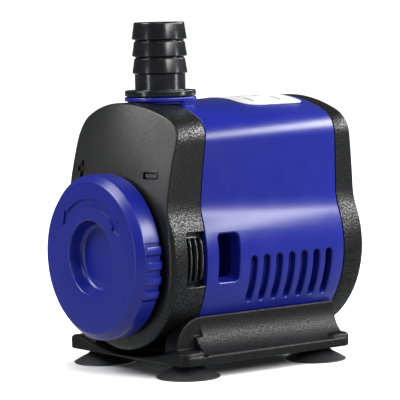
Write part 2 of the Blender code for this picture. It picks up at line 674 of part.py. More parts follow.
def make_base_plate(black):
    """Base plate with corner ears, two side rails that hold the belly, and four cup pockets."""
    plate = rounded_box((-BASE_X, -BASE_Y), (BASE_X, BASE_Y), PLATE_CORNER_R)
    base = add_mesh("base_plate", prism(plate, BASE_BOTTOM_Z, BASE_FLANGE_Z, "Z"), black)

    bm = bmesh.new()
    for front in (1, -1):
        for side in (1, -1):
            x0, x1 = sorted((side * EAR_INNER_X, side * EAR_X))
            y0, y1 = sorted((front * (BASE_Y - EAR_DEPTH), front * (BASE_Y - 0.01)))
            ear = rounded_box((x0, y0), (x1, y1), EAR_CORNER_R)
            add_prism(bm, ear, BASE_BOTTOM_Z + 0.5, EAR_TOP_Z, "Z")
    join(base, add_mesh("base_ears", bm))

    half = math.degrees(math.acos(1 - (EAR_TOP_Z + 0.05 - SADDLE_LOW_Z) / SADDLE_R))
    saddle = arc((0, SADDLE_LOW_Z + SADDLE_R), SADDLE_R, half - 90, -90 - half, 14)
    reach = saddle[0][0]
    saddle += [(-reach, 14.0), (reach, 14.0)]
    bm = bmesh.new()
    add_prism(bm, saddle, -60, -28, "Y")
    add_prism(bm, saddle, 28, 60, "Y")
    cut(base, add_mesh("edge_saddles", bm))

    centre = (RAIL_X + SKIRT_R, RAIL_TOP_Z - 2.0)
    skirt = [(15.0, 6.0), (SKIRT_FOOT_X, 6.0)] + arc(centre, SKIRT_R, 247.0, 205.0, 4)
    skirt.append((15.0, skirt[-1][1]))
    rail = [(16.0, 5.8), (SKIRT_FOOT_X, 5.8)] + arc(centre, SKIRT_R, 247.0, 180.0, 6)
    rail += [(RAIL_X, RAIL_TOP_Z - 0.4), (RAIL_X - 0.3, RAIL_TOP_Z), (16.0, RAIL_TOP_Z)]
    bm = bmesh.new()
    add_prism(bm, rail, RAIL_FRONT_Y, RAIL_REAR_Y, "Y")
    add_prism(bm, mirrored(rail), RAIL_FRONT_Y, RAIL_REAR_Y, "Y")
    join(base, add_mesh("side_rails", bm))
    bm = bmesh.new()
    add_prism(bm, skirt, SKIRT_FRONT_Y, RAIL_FRONT_Y + 1, "Y")
    add_prism(bm, mirrored(skirt), SKIRT_FRONT_Y, RAIL_FRONT_Y + 1, "Y")
    join(base, add_mesh("skirt_ends", bm))

    bm = bmesh.new()
    gusset = arc((GUSSET_Y, 10.4), RAIL_TOP_Z - 10.45, 90.0, 175.0, 7)
    gusset += [(-36.7, 6.5), (GUSSET_Y, 6.5)]
    add_prism(bm, gusset, GUSSET_INNER_X, RAIL_X - 0.2, "X")
    add_prism(bm, gusset, -(RAIL_X - 0.2), -GUSSET_INNER_X, "X")
    join(base, add_mesh("rail_gussets", bm))

    belly = turned(ring_profile(0, BELLY_R + GAP, -60, 60), (0, 0, AXIS_Z), Y_AXIS, start=3.0, steps=60)
    cut(base, add_mesh("belly_trough", belly))

    bm = bmesh.new()
    for x in (CUP_X, -CUP_X):
        for y in (CUP_Y, -CUP_Y):
            pocket = [(0, 0), (STEM_R + GAP, 0), (STEM_R + GAP, KNOB_Z - GAP), (KNOB_R + GAP, KNOB_Z - GAP),
                      (KNOB_R + GAP, KNOB_TOP_Z + GAP), (0, KNOB_TOP_Z + GAP)]
            add_turned(bm, pocket, (x, y, 0), Z_AXIS, steps=16)
    cut(base, add_mesh("cup_pockets", bm))
    return base


def make_suction_cups(rubber):
    """Four suction cups, each held in the base by a waisted stem and a knob."""
    shoulder = BASE_BOTTOM_Z - GAP
    profile = [(0, 1.9), (4.0, 1.8), (8.2, 1.0), (10.2, 0.0), (CUP_R - 0.2, 0.0), (CUP_R, 0.4),
               (7.0, 3.1), (5.0, shoulder), (STEM_R, shoulder),
               (STEM_R, KNOB_Z), (KNOB_R, KNOB_Z), (KNOB_R, KNOB_Z + 0.5), (1.7, KNOB_TOP_Z), (0, KNOB_TOP_Z)]
    names = {(1, -1): "front_right", (-1, -1): "front_left", (1, 1): "rear_right", (-1, 1): "rear_left"}
    for (side, end), place in names.items():
        centre = (side * CUP_X, end * CUP_Y, 0)
        cup = add_mesh("suction_cup_" + place, turned(profile, centre, Z_AXIS, steps=16), rubber)
        set_origin(cup, centre)


# ---------------------------------------------------------------- pump chamber

def spiral(extra):
    """Volute outline that opens out clockwise from beside the outlet, grown by an extra radius."""
    steps = 28
    points = []
    for i in range(steps + 1):
        share = i / steps
        radius = SPIRAL_SMALL_R + SPIRAL_GROWTH * share + extra
        angle = math.radians(SPIRAL_START - 360.0 * share)
        points.append((radius * math.cos(angle), AXIS_Z + radius * math.sin(angle)))
    return points


def make_pump_chamber(blue):
    """Volute chamber with a round front flange, a seal groove and the outlet stub."""
    chamber = add_mesh("pump_chamber", prism(spiral(CHAMBER_WALL), CHAMBER_FRONT_Y, CHAMBER_REAR_Y), blue)
    flange = turned(ring_profile(0, CHAMBER_FLANGE_R, CHAMBER_FRONT_Y, CHAMBER_FRONT_Y + 2.4),
                    (0, 0, AXIS_Z), Y_AXIS, steps=32)
    join(chamber, add_mesh("chamber_flange", flange))
    stub = turned(ring_profile(0, STUB_R, 52.0, STUB_TOP_Z), (0, OUTLET_Y, 0), Z_AXIS, steps=24)
    join(chamber, add_mesh("outlet_stub", stub))
    cavity = prism(spiral(0.0), CHAMBER_FRONT_Y - 2, CHAMBER_REAR_Y + 2)
    cut(chamber, add_mesh("volute_cavity", cavity))
    bore = turned(ring_profile(0, STUB_BORE_R, 50.0, 100.0), (0, OUTLET_Y, 0), Z_AXIS, steps=24)
    cut(chamber, add_mesh("stub_bore", bore))
    groove = turned(ring_profile(25.8, 27.0, CHAMBER_FRONT_Y - 1, CHAMBER_FRONT_Y + 1.4),
                    (0, 0, AXIS_Z), Y_AXIS, steps=32)
    cut(chamber, add_mesh("seal_groove", groove))
    return chamber


def make_chamber_seal(rubber):
    low = CHAMBER_FRONT_Y + 0.1
    profile = ring_profile(26.1, 26.7, low, low + 1.0)
    seal = add_mesh("chamber_seal", turned(profile, (0, 0, AXIS_Z), Y_AXIS, steps=32), rubber)
    set_origin(seal, (0, low, AXIS_Z))


def make_volute_cover(grey):
    """Front plate of the chamber: the eye, and a three-armed spider that holds the front bush."""
    rear = CHAMBER_FRONT_Y - GAP
    front = rear - VOLUTE_COVER_T
    centre = (0, 0, AXIS_Z)
    cover = add_mesh("volute_cover", turned(ring_profile(EYE_R, CHAMBER_FLANGE_R, front, rear), centre,
                                            Y_AXIS, steps=32), grey)
    for arm in range(3):
        angle = math.radians(90 + 120 * arm)
        out = Vector((math.cos(angle), math.sin(angle)))
        side = Vector((-out.y, out.x)) * ARM_HALF
        start = Vector((0, AXIS_Z)) + out
        end = start + out * (EYE_R + 0.5)
        outline = [tuple(point) for point in (start + side, start - side, end - side, end + side)]
        join(cover, add_mesh("spider_arm_%d" % arm, prism(outline, front + 0.2, rear - 0.2)))
    boss = turned(ring_profile(0, 5.2, front - 1.2, rear + 1.2), centre, Y_AXIS, steps=24)
    join(cover, add_mesh("spider_boss", boss))
    socket = turned(ring_profile(0, 3.7, front, rear + 4), centre, Y_AXIS, steps=24)
    cut(cover, add_mesh("bush_socket", socket))
    return cover


def make_impeller(white):
    """Six-bladed impeller whose rear dog is driven by the rotor's dog after some free turn."""
    centre = (0, 0, AXIS_Z)
    plate_rear = IMPELLER_PLATE_Y + IMPELLER_PLATE_T
    hub = [(SHAFT_BORE_R, IMPELLER_FRONT_Y + 0.3), (3.4, IMPELLER_FRONT_Y + 0.3),
           (4.2, IMPELLER_PLATE_Y), (IMPELLER_R, IMPELLER_PLATE_Y), (IMPELLER_R, plate_rear),
           (SHAFT_BORE_R, plate_rear)]
    impeller = add_mesh("impeller", turned(hub, centre, Y_AXIS, steps=28), white)
    bm = bmesh.new()
    for blade in range(BLADE_COUNT):
        angle = 360.0 * blade / BLADE_COUNT
        inner = arc((0, AXIS_Z), 3.0, angle - 9, angle + 9, 1)
        bend = arc((0, AXIS_Z), 9.5, angle - 12.0, angle - 6.0, 1)
        outer = arc((0, AXIS_Z), IMPELLER_R - 0.2, angle - 23.0, angle - 18.5, 1)
        outline = [inner[0], bend[0], outer[0], outer[1], bend[1], inner[1]]
        add_prism(bm, outline, IMPELLER_FRONT_Y + 2.0, IMPELLER_PLATE_Y + 0.5, "Y")
    join(impeller, add_mesh("impeller_blades", bm))
    dog = ring_profile(DOG_INNER_R, DOG_OUTER_R, plate_rear - 0.5, plate_rear + DOG_LENGTH)
    join(impeller, add_mesh("impeller_dog", turned(dog, centre, Y_AXIS, -90 - DOG_HALF, 2 * DOG_HALF, 6)))
    set_origin(impeller, centre)
    return impeller


def make_rotor(magnet_material, sleeve_material):
    """Magnet on its plastic sleeve; the sleeve's front plate carries the driving dog."""
    centre = (0, 0, AXIS_Z)
    plate_front = IMPELLER_PLATE_Y + IMPELLER_PLATE_T + DOG_LENGTH + GAP
    plate_rear = plate_front + 1.4
    sleeve = [(SHAFT_BORE_R, plate_front), (7.6, plate_front), (7.6, plate_rear), (3.1, plate_rear),
              (3.1, ROTOR_REAR_Y), (SHAFT_BORE_R, ROTOR_REAR_Y)]
    rotor_sleeve = add_mesh("rotor_sleeve", turned(sleeve, centre, Y_AXIS, steps=20), sleeve_material)
    dog = ring_profile(DOG_INNER_R, DOG_OUTER_R, plate_front - DOG_LENGTH, plate_front + 0.5)
    join(rotor_sleeve, add_mesh("rotor_dog", turned(dog, centre, Y_AXIS, 90 - DOG_HALF, 2 * DOG_HALF, 6)))
    set_origin(rotor_sleeve, centre)
    profile = ring_profile(3.4, MAGNET_R, plate_rear + GAP, ROTOR_REAR_Y)
    magnet = add_mesh("rotor_magnet", turned(profile, centre, Y_AXIS, steps=24), magnet_material)
    set_origin(magnet, centre)


def make_shaft_and_bushes(ceramic, rubber):
    """Fixed ceramic shaft between two rubber bushes."""
    centre = (0, 0, AXIS_Z)
    front = CHAMBER_FRONT_Y - VOLUTE_COVER_T
    shaft = [(0, front), (SHAFT_R, front), (SHAFT_R, WELL_END_Y - GAP), (0, WELL_END_Y - GAP)]
    add_mesh("rotor_shaft", turned(shaft, centre, Y_AXIS, steps=20), ceramic)
    add_mesh("front_bush", turned(ring_profile(SHAFT_BORE_R, 3.4, front, front + 2.8), centre,
                                  Y_AXIS, steps=20), rubber)
    add_mesh("rear_bush", turned(ring_profile(SHAFT_BORE_R, 8.7, WELL_END_Y - 3.2, WELL_END_Y - GAP),
                                 centre, Y_AXIS, steps=24), rubber)
    for name in ("rotor_shaft", "front_bush", "rear_bush"):
        set_origin(bpy.data.objects[name], centre)


# ---------------------------------------------------------------- motor block

def make_motor_housing(blue):
    """Can for the stator, closed in front, with the blind rotor well down its middle."""
    centre = (0, 0, AXIS_Z)
    housing = add_mesh("motor_housing", prism(section(MOTOR_INSET), MOTOR_FRONT_Y, MOTOR_REAR_Y), blue)
    flange = section(WALL + GAP)
    front = prism(flange, MOTOR_FRONT_Y, MOTOR_FRONT_Y + MOTOR_WALL)
    join(housing, add_mesh("front_flange", front))
    join(housing, add_mesh("rear_flange", prism(flange, MOTOR_REAR_Y - MOTOR_WALL, MOTOR_REAR_Y)))
    cavity = prism(section(MOTOR_INSET + MOTOR_WALL), MOTOR_FRONT_Y + MOTOR_WALL, MOTOR_REAR_Y + 5)
    cut(housing, add_mesh("stator_cavity", cavity))
    well = turned(ring_profile(0, WELL_R, MOTOR_FRONT_Y + 1, WELL_END_Y + 2), centre, Y_AXIS, steps=24)
    join(housing, add_mesh("rotor_well", well))
    bore = turned(ring_profile(0, WELL_BORE_R, MOTOR_FRONT_Y - 5, WELL_END_Y), centre, Y_AXIS, steps=24)
    cut(housing, add_mesh("well_bore", bore))
    return housing


def coil_ring(middle, extra, radius, z):
    """Ring round a stator leg at height z, standing out from the leg by an extra width."""
    half_x = (LEG_OUTER_X - LEG_INNER_X) / 2 + extra
    half_y = (CORE_REAR_Y - CORE_FRONT_Y) / 2 + extra
    middle_y = (CORE_FRONT_Y + CORE_REAR_Y) / 2
    outline = rounded_box((middle - half_x, middle_y - half_y), (middle + half_x, middle_y + half_y),
                          radius, 2)
    return [(x, y, z) for x, y in outline]


def make_stator(steel, copper, white):
    """Two pole pieces joined by a yoke, with a bobbin and a winding round each leg."""
    yoke = [(-LEG_OUTER_X, YOKE_BOTTOM_Z), (LEG_OUTER_X, YOKE_BOTTOM_Z),
            (LEG_OUTER_X, YOKE_TOP_Z), (-LEG_OUTER_X, YOKE_TOP_Z)]
    add_mesh("stator_yoke", prism(yoke, CORE_FRONT_Y, CORE_REAR_Y), steel)
    bore_r = WELL_R + GAP
    start = math.degrees(math.asin(POLE_GAP / bore_r))
    leg_top = YOKE_BOTTOM_Z - GAP
    for side, place in ((1, "right"), (-1, "left")):
        pole = [(POLE_GAP, POLE_BOTTOM_Z), (POLE_X, POLE_BOTTOM_Z), (POLE_X, POLE_TOP_Z),
                (LEG_OUTER_X, POLE_TOP_Z), (LEG_OUTER_X, leg_top), (LEG_INNER_X, leg_top),
                (LEG_INNER_X, POLE_TOP_Z), (POLE_GAP, POLE_TOP_Z)]
        pole += arc((0, AXIS_Z), bore_r, 90 - start, start - 90, 14)
        outline = pole if side > 0 else mirrored(pole)
        add_mesh("stator_pole_" + place, prism(outline, CORE_FRONT_Y, CORE_REAR_Y), steel)

        middle = side * (LEG_INNER_X + LEG_OUTER_X) / 2
        low = COIL_BOTTOM_Z + BOBBIN_FLANGE
        high = COIL_TOP_Z - BOBBIN_FLANGE
        rows = [(COIL_REACH, 2.0, COIL_BOTTOM_Z), (COIL_REACH, 2.0, low), (BOBBIN_SLEEVE, 0.8, low),
                (BOBBIN_SLEEVE, 0.8, high), (COIL_REACH, 2.0, high), (COIL_REACH, 2.0, COIL_TOP_Z),
                (GAP, 0.2, COIL_TOP_Z), (GAP, 0.2, COIL_BOTTOM_Z)]
        bobbin = loft([coil_ring(middle, *row) for row in rows], closed=True)
        add_mesh("coil_bobbin_" + place, bobbin, white)

        low += GAP
        high -= GAP
        wide = COIL_REACH - 0.4
        rows = [(wide - 0.4, 2.0, low), (wide, 2.0, low + 0.6), (wide, 2.0, high - 0.6),
                (wide - 0.4, 2.0, high), (BOBBIN_SLEEVE + GAP, 0.8, high), (BOBBIN_SLEEVE + GAP, 0.8, low)]
        winding = loft([coil_ring(middle, *row) for row in rows], closed=True)
        add_mesh("coil_winding_" + place, winding, copper)


def make_potting_plug(epoxy):
    """Potting compound that closes the open rear of the motor housing."""
    outline = section(MOTOR_INSET + MOTOR_WALL + GAP)
    add_mesh("potting_plug", prism(outline, WELL_END_Y + 3.5, MOTOR_REAR_Y - 0.5), epoxy)


def clear_scene():
    for obj in list(bpy.data.objects):
        bpy.data.objects.remove(obj, do_unlink=True)


def main():
    clear_scene()
    blue = make_material("blue_plastic", BLUE, 0.35)
    black = make_material("black_plastic", BLACK, 0.55)
    gloss = make_material("gloss_black_plastic", GLOSS_BLACK, 0.2)
    rubber = make_material("rubber", RUBBER, 0.45)
    white = make_material("white_plastic", WHITE, 0.5)
    steel = make_material("steel", STEEL, 0.35, 1.0)
    copper = make_material("enamelled_copper", COPPER, 0.3, 1.0)
    grey = make_material("grey_plastic", GREY, 0.5)
    make_base_plate(black)
    make_suction_cups(rubber)
    make_body_shell(blue)
    make_front_cover(black)
    make_latch_tab("latch_tab_right", 0.0, gloss)
    make_latch_tab("latch_tab_left", 180.0, gloss)
    make_rear_cover(black)
    make_screws(steel)
    make_cord_gland(rubber)
    make_label(white)
    make_flow_dial(blue)
    make_outlet_nozzle(gloss)
    make_nozzle_seal(rubber)
    make_pump_chamber(blue)
    make_chamber_seal(rubber)
    make_volute_cover(grey)
    make_impeller(white)
    make_rotor(make_material("ferrite", FERRITE, 0.5), white)
    make_shaft_and_bushes(make_material("ceramic", CERAMIC, 0.25), rubber)
    make_motor_housing(blue)
    make_stator(steel, copper, white)
    make_potting_plug(make_material("epoxy", EPOXY, 0.4))


main()
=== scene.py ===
"""Looks of the fountain submersible pump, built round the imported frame.

Lengths are in millimetres, angles in degrees. Y is measured from the middle of the base plate,
and place() turns such a point into the frame's metres.
"""
import math

import bmesh
import bpy
from mathutils import Matrix, Vector


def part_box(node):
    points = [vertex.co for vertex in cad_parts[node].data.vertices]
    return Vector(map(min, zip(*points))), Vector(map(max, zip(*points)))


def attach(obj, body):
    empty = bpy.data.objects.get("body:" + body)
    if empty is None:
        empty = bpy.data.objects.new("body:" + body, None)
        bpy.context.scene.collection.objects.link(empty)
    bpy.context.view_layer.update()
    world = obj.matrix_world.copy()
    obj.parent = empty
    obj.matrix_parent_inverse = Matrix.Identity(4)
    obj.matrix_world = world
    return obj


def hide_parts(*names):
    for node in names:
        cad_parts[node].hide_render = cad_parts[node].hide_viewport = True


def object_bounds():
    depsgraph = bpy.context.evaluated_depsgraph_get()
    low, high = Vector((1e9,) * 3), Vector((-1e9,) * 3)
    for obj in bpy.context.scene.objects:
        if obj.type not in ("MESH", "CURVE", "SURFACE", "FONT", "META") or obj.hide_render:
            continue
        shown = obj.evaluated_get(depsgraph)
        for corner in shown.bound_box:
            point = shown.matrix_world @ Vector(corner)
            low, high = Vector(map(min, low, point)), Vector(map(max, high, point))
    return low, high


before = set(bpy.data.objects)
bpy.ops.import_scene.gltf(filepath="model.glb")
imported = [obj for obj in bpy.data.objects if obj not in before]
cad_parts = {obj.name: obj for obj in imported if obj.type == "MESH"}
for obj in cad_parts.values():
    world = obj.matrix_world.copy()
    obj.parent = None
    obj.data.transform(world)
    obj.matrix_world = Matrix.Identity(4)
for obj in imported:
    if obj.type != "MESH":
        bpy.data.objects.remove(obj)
CAD_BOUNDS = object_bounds()

MM = 0.001


def box_mm(node):
    """Lowest and highest corner of a CAD node in millimetres."""
    low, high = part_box(node)
    return Vector(low) / MM, Vector(high) / MM


BASE_LOW, BASE_HIGH = box_mm("base_plate")
BASE_MIDDLE_Y = (BASE_LOW.y + BASE_HIGH.y) / 2
SHELL_HIGH = box_mm("body_shell")[1]
DIAL_LOW = box_mm("flow_dial")[0]
NOZZLE_LOW, NOZZLE_HIGH = box_mm("outlet_nozzle")
COVER_LOW = box_mm("front_cover")[0]
REAR_HIGH = box_mm("rear_cover")[1]
CUP_LOW, CUP_HIGH = box_mm("suction_cup_front_right")
GLAND_HIGH = box_mm("cord_gland")[1]
LABEL_LOW, LABEL_HIGH = box_mm("top_label")

# Body section in XZ: a crown arc, shoulders, flat upper sides, a waist and a round belly.
BELLY_R = SHELL_HIGH.x
AXIS_Z = COVER_LOW.z + BELLY_R
AXIS = (0, 0, AXIS_Z)
SIDE_X = 30.2
SHOULDER_R = 10.0
SHOULDER_Z = 82.8
TOP_Z = REAR_HIGH.z
WAIST_R = 20.0
WALL = 2.4
CROWN_RISE = TOP_Z - SHOULDER_Z
CROWN_HALF = SIDE_X - SHOULDER_R
CROWN_R = (CROWN_HALF ** 2 + CROWN_RISE ** 2 - SHOULDER_R ** 2) / (2 * (CROWN_RISE - SHOULDER_R))
CROWN_Z = TOP_Z - CROWN_R

# Joints between the casing's three mouldings, and the small round along their edges.
REAR_PARTING_Y = 36.9
REAR_FACE_Y = REAR_HIGH.y - BASE_MIDDLE_Y
PARTING_HALF = 0.15
SHELL_SOFT = 0.35
COVER_SOFT = 0.3

# Snap windows, latch notches and latch tabs: front and rear Y, and half length round the belly.
WINDOW_YS = (-21.5, -12.0)
WINDOW_HALF = 8.97
WINDOW_ROUND = 1.9
WINDOW_ANGLE = -0.6
NOTCH_YS = (-35.4, -15.0)
NOTCH_HALF = 9.87
TAB_YS = (-35.0, -27.3)
TAB_FOOT_YS = (-36.5, -26.0)
TAB_HALF_ANGLE = 15.2

# Cooling slots.
SLOT_COUNT = 7
SLOT_FIRST_Y = -5.45
SLOT_PITCH = 5.85
SLOT_HALF_WIDTH = 1.5
SLOT_HALF = 8.93
SLOT_ANGLE = -15.66

# Dial.
DIAL_R = 29.75
DIAL_FRONT_Y = DIAL_LOW.y - BASE_MIDDLE_Y
DIAL_REAR_Y = -43.7
CHAMFER = 2.57
RECESS_R = 13.4
RECESS_DEPTH = 5.5
HUB_R = 6.5
RIB_MIDDLE = -7.2
RIB_PITCH = 10.2
RIB_HALF = 2.75
RIB_HEIGHT = 0.8
GRIP_DEPTH = 0.6
GRIP_HALF = 20.8

# Outlet.
OUTLET_Y = (NOZZLE_LOW.y + NOZZLE_HIGH.y) / 2 - BASE_MIDDLE_Y
OUTLET = (0, OUTLET_Y, 0)
FLANGE_R = NOZZLE_HIGH.x
NOZZLE_TOP_Z = NOZZLE_HIGH.z
COLLAR_R = 13.04
COLLAR_TOP_Z = SHELL_HIGH.z
COLLAR_BOTTOM_Z = 96.3
NECK_R = 9.17
BORE_R = 6.4
SPIGOT_HOLE_R = 9.1

SCREW_NUMBERS = range(1, 5)

# Base.
EAR_TOP_Z = 10.2
RAIL_X = 28.4
RAIL_TOP_Z = BASE_HIGH.z

# Strength of the room's light from above, and of what the pale floor sends back.
ROOM = 0.11
FLOOR_BOUNCE = 0.60


def place(x, y, z):
    """Point of the frame in metres."""
    return Vector((x, y + BASE_MIDDLE_Y, z)) * MM


# ---------------------------------------------------------------- mesh tools

def face_outward(bm):
    """Turn each separate closed shell of a mesh so that its faces look outward."""
    bmesh.ops.recalc_face_normals(bm, faces=bm.faces)
    left = set(bm.faces)
    while left:
        shell = []
        queue = [left.pop()]
        while queue:
            face = queue.pop()
            shell.append(face)
            for edge in face.edges:
                for other in edge.link_faces:
                    if other in left:
                        left.remove(other)
                        queue.append(other)
        origin = shell[0].verts[0].co
        volume = 0.0
        for face in shell:
            corner = face.verts[0].co - origin
            for i in range(1, len(face.verts) - 1):
                volume += corner.dot((face.verts[i].co - origin).cross(face.verts[i + 1].co - origin))
        if volume < 0:
            bmesh.ops.reverse_faces(bm, faces=shell)


def shade(mesh, sharp_above=35.0):
    """Shade a mesh smooth, but for edges that bend by more than an angle."""
    mesh.shade_smooth()
    mesh.set_sharp_from_angle(angle=math.radians(sharp_above))


def make_object(name, bm):
    """Object of a bmesh with its faces turned outward."""
    bmesh.ops.remove_doubles(bm, verts=bm.verts, dist=1e-7)
    face_outward(bm)
    mesh = bpy.data.meshes.new(name)
    bm.to_mesh(mesh)
    bm.free()
    shade(mesh)
    obj = bpy.data.objects.new(name, mesh)
    bpy.context.scene.collection.objects.link(obj)
    return obj


def apply_modifiers(obj, sharp_above=35.0):
    """Replace the object's mesh by its evaluated one, and shade it smooth again."""
    bpy.context.view_layer.update()
    depsgraph = bpy.context.evaluated_depsgraph_get()
    mesh = bpy.data.meshes.new_from_object(obj.evaluated_get(depsgraph))
    obj.modifiers.clear()
    obj.data = mesh
    shade(mesh, sharp_above)


def change(obj, bm, operation):
    """Join or cut a bmesh tool into an object at once."""
    tool = make_object("tool", bm)
    modifier = obj.modifiers.new("change", "BOOLEAN")
    modifier.operation = operation
    modifier.solver = "EXACT"
    modifier.object = tool
    apply_modifiers(obj)
    bpy.data.objects.remove(tool, do_unlink=True)


def cut(obj, bm):
    change(obj, bm, "DIFFERENCE")


def join(obj, bm):
    change(obj, bm, "UNION")


def merge(obj, other):
    """Add another object's mesh to an object as it is."""
    bm = bmesh.new()
    bm.from_mesh(obj.data)
    bm.from_mesh(other.data)
    bm.to_mesh(obj.data)
    bm.free()
    shade(obj.data)
    bpy.data.objects.remove(other, do_unlink=True)


def loft(rings, closed=False, bm=None):
    """Join rings of points; a closed loft meets its first ring again, and an open one gets two caps."""
    bm = bm or bmesh.new()
    loops = [[bm.verts.new(point) for point in ring] for ring in rings]
    pairs = list(zip(loops, loops[1:]))
    if closed:
        pairs.append((loops[-1], loops[0]))
    for first, second in pairs:
        count = len(first)
        for i in range(count):
            j = (i + 1) % count
            bm.faces.new((first[i], first[j], second[j], second[i]))
    if not closed:
        bm.faces.new(loops[0])
        bm.faces.new(loops[-1])
    return bm


def prism(outline, low, high, axis, bm=None):
    """Extrude an outline; it is (x, z) along Y, (x, y) along Z and (y, z) along X."""
    spots = {
        "X": lambda a, b, level: place(level, a, b),
        "Y": lambda a, b, level: place(a, level, b),
        "Z": lambda a, b, level: place(a, b, level),
    }[axis]
    return loft([[spots(a, b, level) for a, b in outline] for level in (low, high)], bm=bm)


def turned(profile, centre, axis, steps=96, start=0.0, sweep=360.0, bm=None):
    """Turn a profile of (radius, level) about the Y or Z axis through a centre in millimetres."""
    bm = bm or bmesh.new()
    whole = sweep >= 360.0
    count = steps if whole else steps + 1
    rings = []
    for i in range(count):
        angle = math.radians(start + sweep * i / steps)
        ring = []
        for radius, level in profile:
            a = radius * math.cos(angle)
            b = radius * math.sin(angle)
            if axis == "Y":
                ring.append(place(centre[0] + a, level, centre[2] + b))
            else:
                ring.append(place(centre[0] + a, centre[1] + b, level))
        rings.append(ring)
    loft(rings, closed=whole, bm=bm)
    bmesh.ops.remove_doubles(bm, verts=bm.verts, dist=1e-8)
    return bm


def cylinder(radius, low, high, centre, axis, steps=96, bm=None):
    return turned([(0, low), (radius, low), (radius, high), (0, high)], centre, axis, steps, bm=bm)


def arc(centre, radius, start, end, steps):
    angles = [math.radians(start + (end - start) * i / steps) for i in range(steps + 1)]
    return [(centre[0] + radius * math.cos(a), centre[1] + radius * math.sin(a)) for a in angles]


def rounded(points, radii, steps=5, closed=True):
    """Round the corners of a polyline, each by its own radius."""
    count = len(points)
    result = []
    for i, (point, radius) in enumerate(zip(points, radii)):
        if radius <= 0 or (not closed and i in (0, count - 1)):
            result.append(point)
            continue
        here = Vector(point)
        before = Vector(points[i - 1]) - here
        after = Vector(points[(i + 1) % count]) - here
        turn = before.angle(after)
        reach = radius / math.tan(turn / 2) if turn > 0.01 else 0.0
        reach = min(reach, before.length * 0.48, after.length * 0.48)
        first = here + before.normalized() * reach
        last = here + after.normalized() * reach
        for k in range(steps + 1):
            t = k / steps
            spot = first * (1 - t) ** 2 + here * (2 * t * (1 - t)) + last * t ** 2
            result.append(tuple(spot))
    return result


def rounded_box(low, high, radius, steps=6):
    (a0, b0), (a1, b1) = low, high
    points = []
    for centre, start in (((a1 - radius, b0 + radius), -90), ((a1 - radius, b1 - radius), 0),
                          ((a0 + radius, b1 - radius), 90), ((a0 + radius, b0 + radius), 180)):
        points += arc(centre, radius, start, start + 90, steps)
    return points


def mirrored(points):
    return [(-x, z) for x, z in reversed(points)]


def tall_outline(low_y, high_y, half_length, radius, steps=6, side_steps=12):
    """Rounded upright rectangle as (y, length) whose two sides pair up point for point."""
    low = -half_length + radius
    right = arc((high_y - radius, low), radius, -90, 0, steps)
    right += [(high_y, low - 2 * low * i / side_steps) for i in range(1, side_steps)]
    right += arc((high_y - radius, -low), radius, 0, 90, steps)
    return right + [(low_y + high_y - y, length) for y, length in reversed(right)]


def wrapped(outline, levels, side, middle_angle, bm):
    """Block wrapped round the belly, capped along its curve; outline(outset) gives its points."""
    loops = []
    for radius, outset in levels:
        ring = []
        for y, length in outline(outset):
            angle = math.radians(middle_angle) + length / BELLY_R
            spot = place(side * radius * math.cos(angle), y, AXIS_Z + radius * math.sin(angle))
            ring.append(bm.verts.new(spot))
        loops.append(ring)
    count = len(loops[0])
    for first, second in zip(loops, loops[1:]):
        for i in range(count):
            j = (i + 1) % count
            bm.faces.new((first[i], first[j], second[j], second[i]))
    for ring in (loops[0], loops[-1]):
        for i in range(count // 2 - 1):
            bm.faces.new((ring[i], ring[i + 1], ring[count - 2 - i], ring[count - 1 - i]))


def lip(outset, depth):
    """Levels of a cutter that leaves a bevelled lip of the given size round its opening."""
    rows = [(BELLY_R + 1.0, outset + 0.02), (BELLY_R + 0.01, outset)]
    steps = 5
    for i in range(1, steps + 1):
        sine = math.sin(math.radians(90 * i / steps))
        rows.append((BELLY_R - depth * sine, outset * (1 - sine)))
    return rows


def soft_steps(size):
    """Inset and setback of three rings that round an edge, from its end face to its side."""
    return (size, 0.0), (size * 0.3, size * 0.3), (0.0, size)


# ---------------------------------------------------------------- body section

def section(inset=0.0):
    """Fine section of the body as (x, z), pulled in by an inset."""
    crown_end = math.degrees(math.atan2(SHOULDER_Z - CROWN_Z, CROWN_HALF))
    waist_x = SIDE_X + WAIST_R
    waist_z = AXIS_Z + math.sqrt((BELLY_R + WAIST_R) ** 2 - waist_x ** 2)
    belly_start = math.degrees(math.atan2(waist_z - AXIS_Z, waist_x))
    right = arc((0, CROWN_Z), CROWN_R - inset, 90, crown_end, 14)
    right += arc((CROWN_HALF, SHOULDER_Z), SHOULDER_R - inset, crown_end, 0, 14)[1:]
    drop = waist_z - SHOULDER_Z
    right += [(SIDE_X - inset, SHOULDER_Z + drop * i / 6) for i in range(1, 6)]
    right += arc((waist_x, waist_z), WAIST_R + inset, 180, 180 + belly_start, 10)
    right += arc((0, AXIS_Z), BELLY_R - inset, belly_start, -90, 46)[1:]
    return right + mirrored(right)[1:-1]


def front_parting(z):
    """Y of the curved joint between the front cover and the shell."""
    return -27.0 + 0.0021 * (z - AXIS_Z) ** 2


def front_face(x, z):
    """Y of the front cover's domed face."""
    drop = (z - AXIS_Z) ** 2
    return -43.5 + 0.002 * drop + (0.0012 + 1.9e-6 * drop) * x ** 2


def rear_face(z):
    """Y of the rear cover's face, which leans away toward its top and bottom."""
    return REAR_FACE_Y - 0.00104 * (z - AXIS_Z) ** 2


def front_round(z):
    """Radius of the front cover's edge: crisp above the dial and wide round the belly."""
    crisp = 0.7
    wide = 2.6
    crisp_z = 58.0
    fade = 10.0
    share = min(max((crisp_z - z) / fade, 0.0), 1.0)
    share = share * share * (3 - 2 * share)
    return crisp + (wide - crisp) * share


def toward_circle(points, radius, share):
    """Move a section's points part of the way to a circle round the axis."""
    moved = []
    for x, z in points:
        angle = math.atan2(z - AXIS_Z, x)
        goal = (radius * math.cos(angle), AXIS_Z + radius * math.sin(angle))
        moved.append((x + (goal[0] - x) * share, z + (goal[1] - z) * share))
    return moved


# ---------------------------------------------------------------- materials

